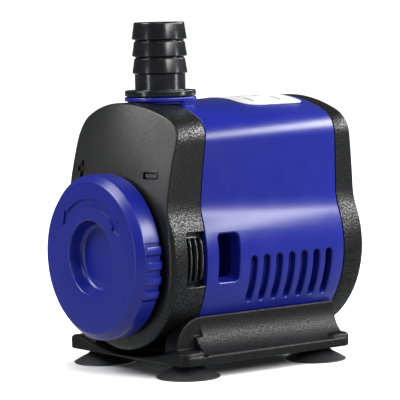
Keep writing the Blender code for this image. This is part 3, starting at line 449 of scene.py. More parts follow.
class Nodes:
    """Small helper round a material's node tree."""

    def __init__(self, name):
        self.material = bpy.data.materials.new(name)
        self.material.use_nodes = True
        self.tree = self.material.node_tree
        self.shader = self.tree.nodes["Principled BSDF"]
        self.coordinates = self.add("ShaderNodeTexCoord")

    def add(self, kind, **values):
        node = self.tree.nodes.new(kind)
        for key, value in values.items():
            setattr(node, key, value)
        return node

    def link(self, source, target):
        self.tree.links.new(source, target)

    def noise(self, size_mm, detail=3.0, roughness=0.55):
        """Noise whose features measure about size_mm."""
        node = self.add("ShaderNodeTexNoise")
        node.inputs["Scale"].default_value = 1.0 / (size_mm * MM)
        node.inputs["Detail"].default_value = detail
        node.inputs["Roughness"].default_value = roughness
        self.link(self.coordinates.outputs["Object"], node.inputs["Vector"])
        return node.outputs["Fac"]

    def ramp(self, source, low, high, start=0.3, end=0.7):
        node = self.add("ShaderNodeValToRGB")
        node.color_ramp.elements[0].position = start
        node.color_ramp.elements[1].position = end
        node.color_ramp.elements[0].color = (*low, 1.0)
        node.color_ramp.elements[1].color = (*high, 1.0)
        self.link(source, node.inputs["Fac"])
        return node.outputs["Color"]

    def spread(self, source, low, high, start=0.3, end=0.7):
        node = self.add("ShaderNodeMapRange")
        node.inputs["From Min"].default_value = start
        node.inputs["From Max"].default_value = end
        node.inputs["To Min"].default_value = low
        node.inputs["To Max"].default_value = high
        self.link(source, node.inputs["Value"])
        return node.outputs["Result"]

    def bump(self, rows):
        """Stack bumps of (height source, depth in mm, strength)."""
        normal = None
        for source, depth, strength in rows:
            node = self.add("ShaderNodeBump")
            node.inputs["Distance"].default_value = depth * MM
            node.inputs["Strength"].default_value = strength
            self.link(source, node.inputs["Height"])
            if normal is not None:
                self.link(normal, node.inputs["Normal"])
            normal = node.outputs["Normal"]
        self.link(normal, self.shader.inputs["Normal"])


def scale_colour(colour, factor):
    return tuple(min(channel * factor, 1.0) for channel in colour)


def moulded(name, colour, roughness, grain, depth, strength, vary=0.12, rough_vary=0.05, metallic=0.0):
    """Moulded or drawn material: fine grain, slow shade changes and a slightly uneven gloss."""
    nodes = Nodes(name)
    slow = nodes.noise(14.0, 2.0)
    shade = nodes.ramp(slow, scale_colour(colour, 1 - vary), scale_colour(colour, 1 + vary))
    nodes.link(shade, nodes.shader.inputs["Base Color"])
    handled = nodes.noise(9.0, 2.0, 0.5)
    rough = nodes.spread(handled, roughness - rough_vary * 0.5, roughness + rough_vary * 0.5)
    nodes.link(rough, nodes.shader.inputs["Roughness"])
    waves = nodes.noise(16.0, 1.0)
    nodes.bump([(nodes.noise(grain), depth, strength), (waves, 0.05, 0.12)])
    nodes.shader.inputs["Metallic"].default_value = metallic
    return nodes.material


def textured(name, colour, roughness, contrast=1.0, shine=1.0):
    """Spark-eroded black: pebbled grain with painted glints, its tops lighter in colour; grain and painted
    glints fainter on faces that look forward or back.
    """
    pebble_mm = 0.55
    pit_mm = 0.9
    nodes = Nodes(name)
    facing = nodes.add("ShaderNodeSeparateXYZ")
    nodes.link(nodes.coordinates.outputs["Normal"], facing.inputs["Vector"])
    along = nodes.add("ShaderNodeMath", operation="ABSOLUTE")
    nodes.link(facing.outputs["Y"], along.inputs[0])
    share = nodes.spread(along.outputs["Value"], contrast, contrast * 0.22, 0.35, 0.85)
    blend = nodes.add("ShaderNodeMix", data_type="FLOAT")
    blend.inputs["A"].default_value = 0.5
    nodes.link(share, blend.inputs["Factor"])
    nodes.link(nodes.noise(pebble_mm, 1.0, 0.5), blend.inputs["B"])
    pebbles_and_glints = blend.outputs["Result"]
    pits = nodes.noise(pit_mm, 3.0, 0.7)
    slow = nodes.ramp(nodes.noise(11.0), scale_colour(colour, 0.85), scale_colour(colour, 1.15))
    shade = nodes.add("ShaderNodeMix", data_type="RGBA", blend_type="MULTIPLY")
    shade.inputs["Factor"].default_value = 1.0
    nodes.link(slow, shade.inputs["A"])
    # Painted glints: the base colour is lighter on the grain's tops and darker in its hollows, as where
    # light catches the grain; fainter on faces that look forward or back.
    nodes.link(nodes.ramp(pebbles_and_glints, (0.35, 0.35, 0.35), (1.6, 1.6, 1.6), 0.35, 0.65), shade.inputs["B"])
    nodes.link(shade.outputs["Result"], nodes.shader.inputs["Base Color"])
    rough = nodes.spread(pebbles_and_glints, roughness + 0.14, roughness - 0.12, 0.38, 0.62)
    nodes.link(rough, nodes.shader.inputs["Roughness"])
    glint = nodes.spread(pebbles_and_glints, 0.18 * shine, 0.62 * shine, 0.38, 0.62)
    nodes.link(glint, nodes.shader.inputs["Specular IOR Level"])
    nodes.bump([(pebbles_and_glints, 0.16, 0.9), (pits, 0.04, 0.4)])
    return nodes.material


def make_materials():
    """All materials by name. A moulded row gives colour, roughness, then grain size, depth and strength."""
    rows = {
        "blue_plastic": ((0.0075, 0.014, 0.235), 0.30, 0.5, 0.01, 0.10, 0.05, 0.04),
        "gloss_black_plastic": ((0.008, 0.008, 0.009), 0.22, 0.5, 0.01, 0.08, 0.10, 0.08),
        "rubber": ((0.028, 0.028, 0.031), 0.40, 0.8, 0.02, 0.15, 0.15, 0.10),
        "grey_plastic": ((0.07, 0.07, 0.075), 0.5, 0.5, 0.02, 0.2),
        "white_plastic": ((0.62, 0.62, 0.60), 0.45, 0.5, 0.02, 0.15),
        "ferrite": ((0.05, 0.05, 0.052), 0.5, 0.3, 0.02, 0.3),
        "ceramic": ((0.72, 0.70, 0.64), 0.2, 0.3, 0.01, 0.1),
        "potting": ((0.03, 0.027, 0.024), 0.35, 2.0, 0.05, 0.2),
        "label": ((0.80, 0.80, 0.79), 0.38, 0.3, 0.01, 0.12, 0.03),
        "label_print": ((0.18, 0.18, 0.19), 0.5, 0.3, 0.01, 0.1),
    }
    metals = {
        "lamination_steel": ((0.30, 0.30, 0.31), 0.4, 0.4, 0.02, 0.3),
        "screw_steel": ((0.50, 0.50, 0.52), 0.28, 0.3, 0.01, 0.2),
        "copper_wire": ((0.60, 0.24, 0.09), 0.3, 0.3, 0.02, 0.3),
    }
    made = {name: moulded(name, *row) for name, row in rows.items()}
    made.update({name: moulded(name, *row, metallic=1.0) for name, row in metals.items()})
    made["black_plastic"] = textured("black_plastic", (0.0040, 0.0040, 0.0044), 0.38)
    made["base_black_plastic"] = textured("base_black_plastic", (0.0042, 0.0042, 0.0047), 0.47, 0.38, 0.62)
    return made


MATERIALS = make_materials()


def dress(piece, slot, body, *nodes, material=None):
    """Give a piece the material of its slot, or the one named, put it on its body, and hide the CAD nodes
    that it stands for.
    """
    piece.data.materials.clear()
    piece.data.materials.append(MATERIALS[material or slot])
    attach(piece, body)
    if nodes:
        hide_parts(*nodes)


# ---------------------------------------------------------------- casing

def slot_outline(middle_y):
    """Outline of a cooling slot with round ends, as a function of its outset."""
    def outline(outset):
        half = SLOT_HALF_WIDTH + outset
        return tall_outline(middle_y - half, middle_y + half, SLOT_HALF + outset, half, 8)
    return outline


def box_outline(low_y, high_y, half_length, radius):
    """Outline of a rounded rectangle on the belly, as a function of its outset."""
    def outline(outset):
        return tall_outline(low_y - outset, high_y + outset, half_length + outset, radius + outset)
    return outline


def make_body_shell():
    """Blue shell with lipped slots and windows, the outlet collar and a frame behind each window."""
    rings = []
    for inset, step in soft_steps(SHELL_SOFT):
        rings.append([place(x, front_parting(z) + PARTING_HALF + step, z) for x, z in section(inset)])
    for inset, step in reversed(soft_steps(SHELL_SOFT)):
        rings.append([place(x, REAR_PARTING_Y - PARTING_HALF - step, z) for x, z in section(inset)])
    inner = section(WALL)
    rings.append([place(x, REAR_PARTING_Y - PARTING_HALF, z) for x, z in inner])
    rings.append([place(x, front_parting(z) + PARTING_HALF, z) for x, z in inner])
    shell = make_object("body_casing", loft(rings, closed=True))

    holes = bmesh.new()
    window = box_outline(*WINDOW_YS, WINDOW_HALF, WINDOW_ROUND)
    edge = lip(0.35, 0.35)
    for side in (1, -1):
        wrapped(window, edge + [(28.0, -0.25)], side, WINDOW_ANGLE, holes)
        for i in range(SLOT_COUNT):
            slot = slot_outline(SLOT_FIRST_Y + SLOT_PITCH * i)
            wrapped(slot, edge + [(31.0, -0.15)], side, SLOT_ANGLE, holes)
    cut(shell, holes)

    foot_r = COLLAR_R - 1.1
    collar = [(0, COLLAR_BOTTOM_Z), (foot_r, COLLAR_BOTTOM_Z), (foot_r, COLLAR_BOTTOM_Z + 0.8),
              (COLLAR_R, COLLAR_BOTTOM_Z + 0.95), (COLLAR_R, COLLAR_TOP_Z), (0, COLLAR_TOP_Z)]
    join(shell, turned(rounded(collar, [0, 0.1, 0.1, 0.5, 0.6, 0]), OUTLET, "Z"))
    block = rounded_box((-COLLAR_R, OUTLET_Y + 0.4), (COLLAR_R, -13.8), 1.2)
    join(shell, prism(block, 94.6, 97.8, "Z"))
    cut(shell, spigot_hole())

    for side in (1, -1):
        bm = bmesh.new()
        border = box_outline(-23.4, -10.1, 10.8, 2.0)
        wrapped(border, ((29.2, 0.0), (32.2, 0.0)), side, WINDOW_ANGLE, bm)
        window_frame = make_object("window_frame", bm)
        bm = bmesh.new()
        wrapped(window, ((34.0, 0.0), (28.0, -0.25)), side, WINDOW_ANGLE, bm)
        cut(window_frame, bm)
        merge(shell, window_frame)
    dress(shell, "blue_plastic", "housing", "body_shell")


def spigot_hole():
    """Cutter for the hole that the nozzle's lower end turns in."""
    return cylinder(SPIGOT_HOLE_R, 85, 105, OUTLET, "Z")


def engrave(cover, outline, x, z, depth, island=None):
    """Cut a sign into the face round a point; an island leaves the inside standing."""
    start = front_face(x, z) - 3.0
    end = front_face(x, z) + depth
    outer = [(x + u, z + v) for u, v in outline]
    if island is None:
        cut(cover, prism(outer, start, end, "Y"))
        return
    inner = [(x + u, z + v) for u, v in island]
    rows = ((outer, start), (outer, end), (inner, end), (inner, start))
    cut(cover, loft([[place(a, level, b) for a, b in ring] for ring, level in rows], closed=True))


def make_front_cover():
    """Black cover: domed face, rounded belly edge, crisp upper edge, notches, inlets and marks."""
    outer = section()
    unit = section(1.0)
    inner = section(WALL)

    def edge_ring(part):
        """Ring of the rounded front edge; part is 0 at the side and 90 on the face."""
        ring = []
        for (x, z), (ux, uz) in zip(outer, unit):
            size = front_round(z)
            inset = size * (1 - math.cos(math.radians(part)))
            px = x + (ux - x) * inset
            pz = z + (uz - z) * inset
            ring.append((px, front_face(px, pz) + size * (1 - math.sin(math.radians(part))), pz))
        return ring

    rings = []
    for inset, step in soft_steps(COVER_SOFT):
        rings.append([(x, front_parting(z) - PARTING_HALF - step, z) for x, z in section(inset)])
    rings += [edge_ring(90 * i / 8) for i in range(9)]
    rim = [(point[0], point[2]) for point in rings[-1]]
    hole_r = HUB_R + 0.3
    for i in range(1, 11):
        ring = toward_circle(rim, hole_r, i / 10)
        rings.append([(x, front_face(x, z), z) for x, z in ring])
    for i in range(4, -1, -1):
        ring = toward_circle(inner, hole_r, i / 4)
        rings.append([(x, front_face(x, z) + WALL, z) for x, z in ring])
    rings.append([(x, front_parting(z) - PARTING_HALF, z) for x, z in inner])
    cover = make_object("front_casing", loft([[place(*p) for p in ring] for ring in rings], closed=True))

    holes = bmesh.new()
    inlet = [(11.0, -46), (20.0, -46), (20.0, -37), (11.0, -37)]
    inlet_half = 38.0
    notch = box_outline(*NOTCH_YS, NOTCH_HALF, 1.3)
    for side, middle in ((1, 0.0), (-1, 180.0)):
        turned(inlet, AXIS, "Y", 24, middle - inlet_half, 2 * inlet_half, holes)
        wrapped(notch, lip(0.25, 0.3) + [(29.0, 0.0)], side, 0.0, holes)
    cut(cover, holes)
    gap = 0.3
    cut(cover, cylinder(COLLAR_R + gap, COLLAR_BOTTOM_Z - gap, 110, OUTLET, "Z"))
    cut(cover, cylinder(11.0, 80, 94, OUTLET, "Z"))
    cut(cover, spigot_hole())
    engrave_marks(cover)
    dress(cover, "black_plastic", "housing", "front_cover")


def engrave_marks(cover):
    """Minus sign as a rounded groove on the right, and a plain plus sign on the left."""
    groove = rounded_box((-3.9, -1.3), (3.9, 1.3), 0.6, 4)
    island = rounded_box((-2.7, -0.55), (3.3, 0.55), 0.3, 4)
    engrave(cover, groove, 20.2, 72.0, 0.6, island)
    arm = 3.2
    half = 0.95
    plus = [(half, arm), (-half, arm), (-half, half), (-arm, half), (-arm, -half), (-half, -half),
            (-half, -arm), (half, -arm), (half, -half), (arm, -half), (arm, half), (half, half)]
    engrave(cover, plus, -21.9, 72.8, 1.1)


def make_latch_tab(name, node, body, side):
    """Glossy press tab on a wider foot, with three upright ridges whose ends die away."""
    half = BELLY_R * math.radians(TAB_HALF_ANGLE)
    bm = bmesh.new()
    levels = ((30.9, 0.0), (31.7, 0.0), (31.9, -0.1), (32.0, -0.3))
    wrapped(box_outline(*TAB_YS, half, 1.0), levels, side, 0.0, bm)
    tab = make_object(name, bm)
    bm = bmesh.new()
    wrapped(box_outline(*TAB_FOOT_YS, half + 1.5, 1.0), ((30.6, 0.0), (31.6, 0.0)), side, 0.0, bm)
    join(tab, bm)

    root_r = 31.7
    crest = 2.45
    ridge_half = 0.78
    ridge_first_y = -33.7
    ridge_pitch = 2.5
    steps = 32
    bm = bmesh.new()
    for i in range(3):
        middle = ridge_first_y + ridge_pitch * i
        rings = []
        for k in range(steps + 1):
            share = k / steps * 2 - 1
            swell = max(1 - abs(share) ** 7, 0.0) ** 0.5 * 0.95 + 0.05
            angle = math.radians((TAB_HALF_ANGLE - 1.1) * share)
            ring = []
            for part in range(17):
                turn = math.radians(180 * part / 16)
                radius = root_r + crest * math.sin(turn) ** 0.8 * swell
                y = middle + ridge_half * math.cos(turn) * (0.45 + 0.55 * swell)
                ring.append(place(side * radius * math.cos(angle), y, AXIS_Z + radius * math.sin(angle)))
            rings.append(ring)
        loft(rings, bm=bm)
    join(tab, bm)
    dress(tab, "gloss_black_plastic", body, node)


def make_rear_cover():
    """Black rear cover with screw pillars, screw wells and the gland hole."""
    parting = REAR_PARTING_Y + PARTING_HALF
    hub = 9.0
    edge = 1.6
    inner = section(WALL)
    rings = [[(x, rear_face(AXIS_Z) - WALL, z) for x, z in toward_circle(inner, hub, 1.0)]]
    for share in (0.7, 0.35, 0.0):
        rings.append([(x, rear_face(z) - WALL, z) for x, z in toward_circle(inner, hub, share)])
    rings.append([(x, parting, z) for x, z in inner])
    for inset, step in soft_steps(COVER_SOFT):
        rings.append([(x, parting + step, z) for x, z in section(inset)])
    for i in range(9):
        turn = math.radians(90 * i / 8)
        ring = section(edge * (1 - math.cos(turn)))
        rings.append([(x, rear_face(z) - edge * (1 - math.sin(turn)), z) for x, z in ring])
    for i in range(1, 9):
        ring = toward_circle(section(edge), hub, i / 8)
        blend = (i / 8) ** 3
        rings.append([(x, rear_face(z) * (1 - blend) + REAR_FACE_Y * blend, z) for x, z in ring])
    cover = make_object("rear_casing", loft([[place(*p) for p in ring] for ring in rings]))

    thread_r = 1.8
    head_r = 3.4
    head_y = 40.2
    beyond = 50
    pillars = bmesh.new()
    wells = bmesh.new()
    for number in SCREW_NUMBERS:
        centre = screw_box(number)[0]
        cylinder(4.7, parting, rear_face(centre[2]) - 1.2, centre, "Y", 48, pillars)
        well = [(0, parting - 2), (thread_r, parting - 2), (thread_r, head_y), (head_r, head_y),
                (head_r, beyond), (0, beyond)]
        turned(well, centre, "Y", 48, bm=wells)
    cylinder(5.2, 40, beyond, AXIS, "Y", 64, wells)
    join(cover, pillars)
    cut(cover, wells)
    dress(cover, "black_plastic", "housing", "rear_cover")


def screw_box(number):
    """Axis point, tip and top of a rear screw."""
    low, high = box_mm("rear_screw_%d" % number)
    centre = ((low.x + high.x) / 2, 0, (low.z + high.z) / 2)
    return centre, low.y - BASE_MIDDLE_Y, high.y - BASE_MIDDLE_Y


def make_screws():
    """Threaded screws with cross recesses, each turned a little further than the one before."""
    root_r = 1.22
    crest_r = 1.5
    pitch = 0.9
    for number in SCREW_NUMBERS:
        centre, tip, top = screw_box(number)
        profile = [(0, tip), (0.8, tip + 0.2)]
        level = tip + 1.2
        while level < top - 3.4:
            profile += [(root_r, level), (crest_r, level + 0.35), (root_r, level + 0.7)]
            level += pitch
        profile += [(crest_r, top - 1.9), (2.6, top - 1.8), (2.9, top - 1.5), (2.9, top - 1.0),
                    (2.6, top - 0.45), (1.9, top - 0.1), (0.9, top), (0, top)]
        screw = make_object("casing_screw_%d" % number, turned(profile, centre, "Y", 40))
        cross = []
        for quarter in range(4):
            a = math.radians(90 * quarter + 20 * number)
            for u, v in ((1.6, -0.42), (1.6, 0.42), (0.42, 0.42)):
                x = centre[0] + u * math.cos(a) - v * math.sin(a)
                z = centre[2] + u * math.sin(a) + v * math.cos(a)
                cross.append((x, z))
        cut(screw, prism(cross, top - 0.9, top + 1.0, "Y"))
        dress(screw, "screw_steel", "housing", "rear_screw_%d" % number)


def make_gland():
    """Rubber sleeve with a groove that holds it in the rear cover."""
    hole_r = 3.3
    groove_r = 4.9
    inside_r = 6.6
    outside_r = 6.8
    root = 41.4
    back = REAR_FACE_Y
    end = GLAND_HIGH.y - BASE_MIDDLE_Y
    profile = [(hole_r, root), (inside_r, root), (inside_r, back - 2.7), (groove_r, back - 2.7),
               (groove_r, back + 0.3), (outside_r, back + 0.3), (outside_r, back + 0.9), (5.4, end),
               (hole_r, end)]
    profile = rounded(profile, [0.3, 0.2, 0.2, 0.1, 0.1, 0.25, 0.4, 0.5, 0.4])
    gland = make_object("cord_gland_sleeve", turned(profile, AXIS, "Y", 72))
    dress(gland, "rubber", "housing", "cord_gland")


def sheet(bm, ys, xs, corner_radii, lift, thick):
    """Thin solid bent over the crown; ys and corner_radii give the front first, xs go round the crown."""
    low_y, high_y = ys
    left, right = xs
    front_r, rear_r = corner_radii
    columns = 40
    rings = []
    for i in range(columns + 1):
        s = left + (right - left) * i / columns
        edge = min(s - left, right - s)
        start = low_y + front_r - math.sqrt(max(front_r ** 2 - max(front_r - edge, 0) ** 2, 0))
        stop = high_y - rear_r + math.sqrt(max(rear_r ** 2 - max(rear_r - edge, 0) ** 2, 0))
        angle = math.pi / 2 - s / CROWN_R
        top = lift + thick
        ring = []
        for level, y in ((lift, start), (top, start + 0.03), (top, stop - 0.03), (lift, stop)):
            radius = CROWN_R + level
            ring.append(place(radius * math.cos(angle), y, CROWN_Z + radius * math.sin(angle)))
        rings.append(ring)
    loft(rings, bm=bm)


def make_label():
    """Blank sticker with large front corners, and a few generic bars printed on it."""
    front = LABEL_LOW.y - BASE_MIDDLE_Y
    rear = LABEL_HIGH.y - BASE_MIDDLE_Y
    reach = CROWN_R * math.asin(LABEL_HIGH.x / (CROWN_R + 0.4))
    bm = bmesh.new()
    sheet(bm, (front, rear), (-reach, reach), (7.0, 2.5), 0.12, 0.22)
    dress(make_object("blank_label", bm), "label", "housing", "top_label")

    bars = []
    for row in range(4):
        y = front + 8.0 + row * 4.2
        bars.append(((y, y + 1.1), (-9.0, 4.0 - 2.5 * (row % 2))))
    for y in (front + 7.0, front + 20.0):
        bars.append(((y, y + 1.0), (7.0, 13.0)))
    bm = bmesh.new()
    for ys, xs in bars:
        sheet(bm, ys, xs, (0.1, 0.1), 0.345, 0.02)
    dress(make_object("label_bars", bm), "label", "housing", material="label_print")


# ---------------------------------------------------------------- dial and nozzle

def arrow_cutter():
    """Cutter of the double-headed arc arrow in the dial's face."""
    inner = 18.5
    outer = 21.2
    first = 40.0
    last = 133.0
    head_length = 4.8
    middle = (inner + outer) / 2
    wide = (outer - inner) / 2 + 1.5
    reach = math.degrees(head_length / middle)

    def head(angle, way):
        """The three corners of a head that points along the arc, from its outer side."""
        corners = []
        tip = angle + way * reach
        for radius, degrees in ((middle + wide, angle), (middle, tip), (middle - wide, angle)):
            a = math.radians(degrees)
            corners.append((radius * math.cos(a), AXIS_Z + radius * math.sin(a)))
        return corners

    outline = arc((0, AXIS_Z), outer, first, last, 40) + head(last, 1)
    outline += arc((0, AXIS_Z), inner, last, first, 40) + head(first, -1)[::-1]
    return prism(outline, DIAL_FRONT_Y - 2.0, DIAL_FRONT_Y + 0.6, "Y")


def make_dial():
    """Flow dial with a filleted thumb recess, a chamfer, an engraved arrow and two groups of grip ribs."""
    recess_y = DIAL_FRONT_Y + RECESS_DEPTH
    web_y = recess_y + 2.4
    face_inner = DIAL_FRONT_Y + 2.9
    skirt = DIAL_R - 2.4
    points = [(0, recess_y), (RECESS_R - 1.1, recess_y), (RECESS_R, DIAL_FRONT_Y),
              (DIAL_R - CHAMFER, DIAL_FRONT_Y), (DIAL_R, DIAL_FRONT_Y + CHAMFER), (DIAL_R, DIAL_REAR_Y),
              (skirt, DIAL_REAR_Y), (skirt, face_inner), (16.2, face_inner), (14.6, web_y),
              (HUB_R, web_y), (HUB_R, -40.7), (HUB_R + 1.0, -40.4), (HUB_R, -39.0),
              (HUB_R - 2, -39.0), (HUB_R - 2, web_y), (0, web_y)]
    radii = [0, 2.2, 0.8, 0.9, 0.9, 0.3, 0.2, 0.8, 0.5, 0.5, 0.3, 0.1, 0.2, 0.3, 0.2, 0.3, 0]
    profile = rounded(points, radii, 7, closed=False)
    dial = make_object("dial_cap", turned(profile, AXIS, "Y", 160))

    pad_inner = 9.5
    pad_outer = 20.8
    pad = [(pad_inner, web_y - 0.6), (14.0, web_y - 0.6), (15.6, face_inner - 0.6),
           (pad_outer, face_inner - 0.6), (pad_outer, DIAL_REAR_Y), (pad_inner, DIAL_REAR_Y)]
    bm = bmesh.new()
    for start in (5.0, 185.0):
        turned(pad, AXIS, "Y", 40, start, 80.0, bm)
    join(dial, bm)
    add_grips(dial)
    cut(dial, arrow_cutter())
    dress(dial, "blue_plastic", "dial", "flow_dial")


def add_grips(dial):
    """Sink a zone into each side of the dial's rim and stand four ribs in it."""
    front = DIAL_FRONT_Y + CHAMFER + 0.3
    rear = DIAL_REAR_Y - 0.2
    root = DIAL_R - GRIP_DEPTH
    crest = DIAL_R + RIB_HEIGHT
    beyond_r = DIAL_R + 3
    zone = rounded([(root, front), (beyond_r, front - 0.2), (beyond_r, DIAL_REAR_Y + 1),
                    (root, DIAL_REAR_Y + 1)], [0.25, 0, 0, 0], 4)
    lifts = ((front - 0.15, 0.15), (front + 0.05, 0.75), (front + 0.3, 0.93), (front + 0.8, 1.0),
             (rear - 0.3, 1.0), (rear - 0.1, 0.95), (rear, 0.8))
    zones = bmesh.new()
    ribs = bmesh.new()
    for group in (0.0, 180.0):
        turned(zone, AXIS, "Y", 48, RIB_MIDDLE + group - GRIP_HALF, 2 * GRIP_HALF, zones)
        for i in range(4):
            middle = RIB_MIDDLE + (i - 1.5) * RIB_PITCH + group
            loft([rib_ring(middle, y, root, root + (crest - root) * lift) for y, lift in lifts], bm=ribs)
    cut(dial, zones)
    join(dial, ribs)


def rib_ring(middle, y, root, top):
    """Section of a grip rib at one Y: straight sides and rounded upper corners."""
    rising = ((root - 0.8, 0.0), (top - 0.25, 0.1), (top - 0.07, 0.3), (top, 0.75))
    corners = [(radius, -RIB_HALF + ease) for radius, ease in rising]
    corners += [(radius, RIB_HALF - ease) for radius, ease in reversed(rising)]
    ring = []
    for radius, angle in corners:
        a = math.radians(middle + angle)
        ring.append(place(radius * math.cos(a), y, AXIS_Z + radius * math.sin(a)))
    return ring


def make_nozzle():
    """Barbed nozzle with a flange, and a spigot with the O-ring's groove."""
    low = NOZZLE_LOW.z
    spigot_r = 8.5
    groove_r = 7.4
    flange_low = COLLAR_TOP_Z + 0.3
    flange_high = 101.1
    barb_low = 106.9
    barb_pitch = 6.1
    points = [(BORE_R, low), (spigot_r - 0.6, low), (spigot_r, low + 0.8), (spigot_r, 85.2),
              (groove_r, 85.2), (groove_r, 86.8), (spigot_r, 86.8), (spigot_r, flange_low),
              (FLANGE_R, flange_low), (FLANGE_R, flange_high), (NECK_R, flange_high)]
    radii = [0.2, 0.3, 0.3, 0.1, 0.1, 0.1, 0.1, 0.2, 0.4, 0.45, 0.35]
    for i in range(3):
        z = barb_low + i * barb_pitch
        last = i == 2
        top = (NECK_R - 0.05, NOZZLE_TOP_Z) if last else (NECK_R + 0.05, z + 5.6)
        points += [(NECK_R - 0.4 if i else NECK_R, z), (10.0, z + 0.55), top]
        radii += [0.1, 0.3, 0.8 if last else 0.25]
        if not last:
            points.append((NECK_R - 0.4, z + 5.75))
            radii.append(0.1)
    points.append((BORE_R, NOZZLE_TOP_Z))
    radii.append(0.6)
    nozzle = make_object("hose_nozzle", turned(rounded(points, radii, 6), OUTLET, "Z", 128))
    dress(nozzle, "gloss_black_plastic", "nozzle", "outlet_nozzle")


# ---------------------------------------------------------------- base

def ear(x0, x1, y0, y1):
    """Corner pad of the base with a rounded upper edge."""
    edge = 1.3
    levels = [(0.0, BASE_LOW.z + 0.5)]
    for degrees in range(0, 91, 15):
        turn = math.radians(degrees)
        levels.append((edge * (1 - math.cos(turn)), EAR_TOP_Z - edge * (1 - math.sin(turn))))
    rings = []
    for inset, level in levels:
        outline = rounded_box((x0 + inset, y0 + inset), (x1 - inset, y1 - inset), 3.2 - inset)
        rings.append([place(x, y, level) for x, y in outline])
    return loft(rings)


def saddle_cutter():
    """Cutter that hollows the front and rear ends of the base along a wide shallow arc."""
    radius = 105.0
    lowest = 6.2
    half = math.degrees(math.acos(1 - (EAR_TOP_Z + 0.05 - lowest) / radius))
    outline = arc((0, lowest + radius), radius, half - 90, -90 - half, 48)
    reach = outline[0][0]
    outline += [(-reach, 14.0), (reach, 14.0)]
    bm = prism(outline, -60, -28, "Y")
    return prism(outline, 28, 60, "Y", bm)


def both_sides(outline, low_y, high_y):
    """Extrude an outline along Y on the right, and its mirror image on the left."""
    bm = prism(outline, low_y, high_y, "Y")
    return prism(mirrored(outline), low_y, high_y, "Y", bm)


def make_base():
    """Base plate: the union of its plate, ears, rails and gussets, rounded as one moulding."""
    half_x = BASE_HIGH.x
    half_y = (BASE_HIGH.y - BASE_LOW.y) / 2
    plate = rounded_box((-half_x, -half_y), (half_x, half_y), 4.0)
    plate_top = 8.2
    base = make_object("base_moulding", prism(plate, BASE_LOW.z, plate_top, "Z"))
    for front in (1, -1):
        for side in (1, -1):
            x0, x1 = sorted((side * 14.0, side * (half_x - 0.4)))
            y0, y1 = sorted((front * 28.8, front * (half_y - 0.01)))
            join(base, ear(x0, x1, y0, y1))
    cut(base, saddle_cutter())

    flare_r = 11.93
    foot_x = 35.6
    inner_x = 16.0
    rail_ys = (-26.0, 36.5)
    skirt_ys = (-28.9, -25.0)
    centre = (RAIL_X + flare_r, 19.5)
    rail = [(inner_x, 5.8), (foot_x, 5.8)] + arc(centre, flare_r, 247.0, 180.0, 24)
    rail += [(RAIL_X, RAIL_TOP_Z - 0.4), (RAIL_X - 0.3, RAIL_TOP_Z), (inner_x, RAIL_TOP_Z)]
    join(base, both_sides(rail, *rail_ys))
    skirt = [(inner_x - 1, 6.0), (foot_x, 6.0)] + arc(centre, flare_r, 247.0, 205.0, 16)
    skirt.append((inner_x - 1, skirt[-1][1]))
    join(base, both_sides(skirt, *skirt_ys))

    gusset = arc((-25.5, 10.4), RAIL_TOP_Z - 10.45, 90.0, 175.0, 28) + [(-36.7, 6.5), (-25.5, 6.5)]
    bm = bmesh.new()
    for low_x, high_x in ((21.0, RAIL_X - 0.2), (-(RAIL_X - 0.2), -21.0)):
        prism(gusset, low_x, high_x, "X", bm)
    join(base, bm)
    cut(base, cylinder(BELLY_R + 0.3, -60, 60, AXIS, "Y", 180))
    cup_x = 25.4
    cup_y = 29.6
    pocket = [(0, 0), (2.6, 0), (2.6, 6.9), (3.4, 6.9), (3.4, 9.8), (0, 9.8)]
    pockets = bmesh.new()
    for x in (cup_x, -cup_x):
        for y in (cup_y, -cup_y):
            turned(pocket, (x, y, 0), "Z", 32, bm=pockets)
    cut(base, pockets)

    remesh = base.modifiers.new("moulding", "REMESH")
    remesh.mode = "VOXEL"
    remesh.voxel_size = 0.34 * MM
    remesh.use_smooth_shade = True
    smooth = base.modifiers.new("soft_edges", "SMOOTH")
    smooth.factor = 0.5
    smooth.iterations = 2
    apply_modifiers(base, 180.0)
    keep_inside(base, "base_plate")
    dress(base, "black_plastic", "housing", "base_plate", material="base_black_plastic")


def keep_inside(piece, node):
    """Clamp a remeshed piece to its CAD node's box."""
    low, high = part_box(node)
    for vert in piece.data.vertices:
        for axis in range(3):
            vert.co[axis] = min(max(vert.co[axis], low[axis]), high[axis])


def make_cups():
    """Suction cups with a thin lip, a hollow underneath and a stem with a knob in the base."""
    rim = (CUP_HIGH.x - CUP_LOW.x) / 2
    stem_r = 2.15
    knob_r = 3.0
    knob_low = 7.2
    knob_top = CUP_HIGH.z
    shoulder = BASE_LOW.z - 0.3
    points = [(0, 1.9), (4.0, 1.8), (8.2, 1.0), (10.2, 0.0), (rim - 0.2, 0.0), (rim, 0.35), (9.4, 1.65),
              (6.6, 3.1), (5.3, 4.2), (5.0, shoulder), (stem_r, shoulder), (stem_r, knob_low),
              (knob_r, knob_low), (knob_r, knob_low + 0.5), (1.7, knob_top), (0, knob_top)]
    radii = [0, 0.6, 0.6, 0.3, 0.08, 0.15, 3.0, 2.0, 0.8, 0.3, 0.2, 0.2, 0.2, 0.2, 0.5, 0]
    profile = rounded(points, radii, 6, closed=False)
    for corner in ("front_right", "front_left", "rear_right", "rear_left"):
        node = "suction_cup_" + corner
        low, high = box_mm(node)
        centre = ((low.x + high.x) / 2, (low.y + high.y) / 2 - BASE_MIDDLE_Y, 0)
        cup = make_object("cup_" + corner, turned(profile, centre, "Z", 80))
        dress(cup, "rubber", "housing", node)


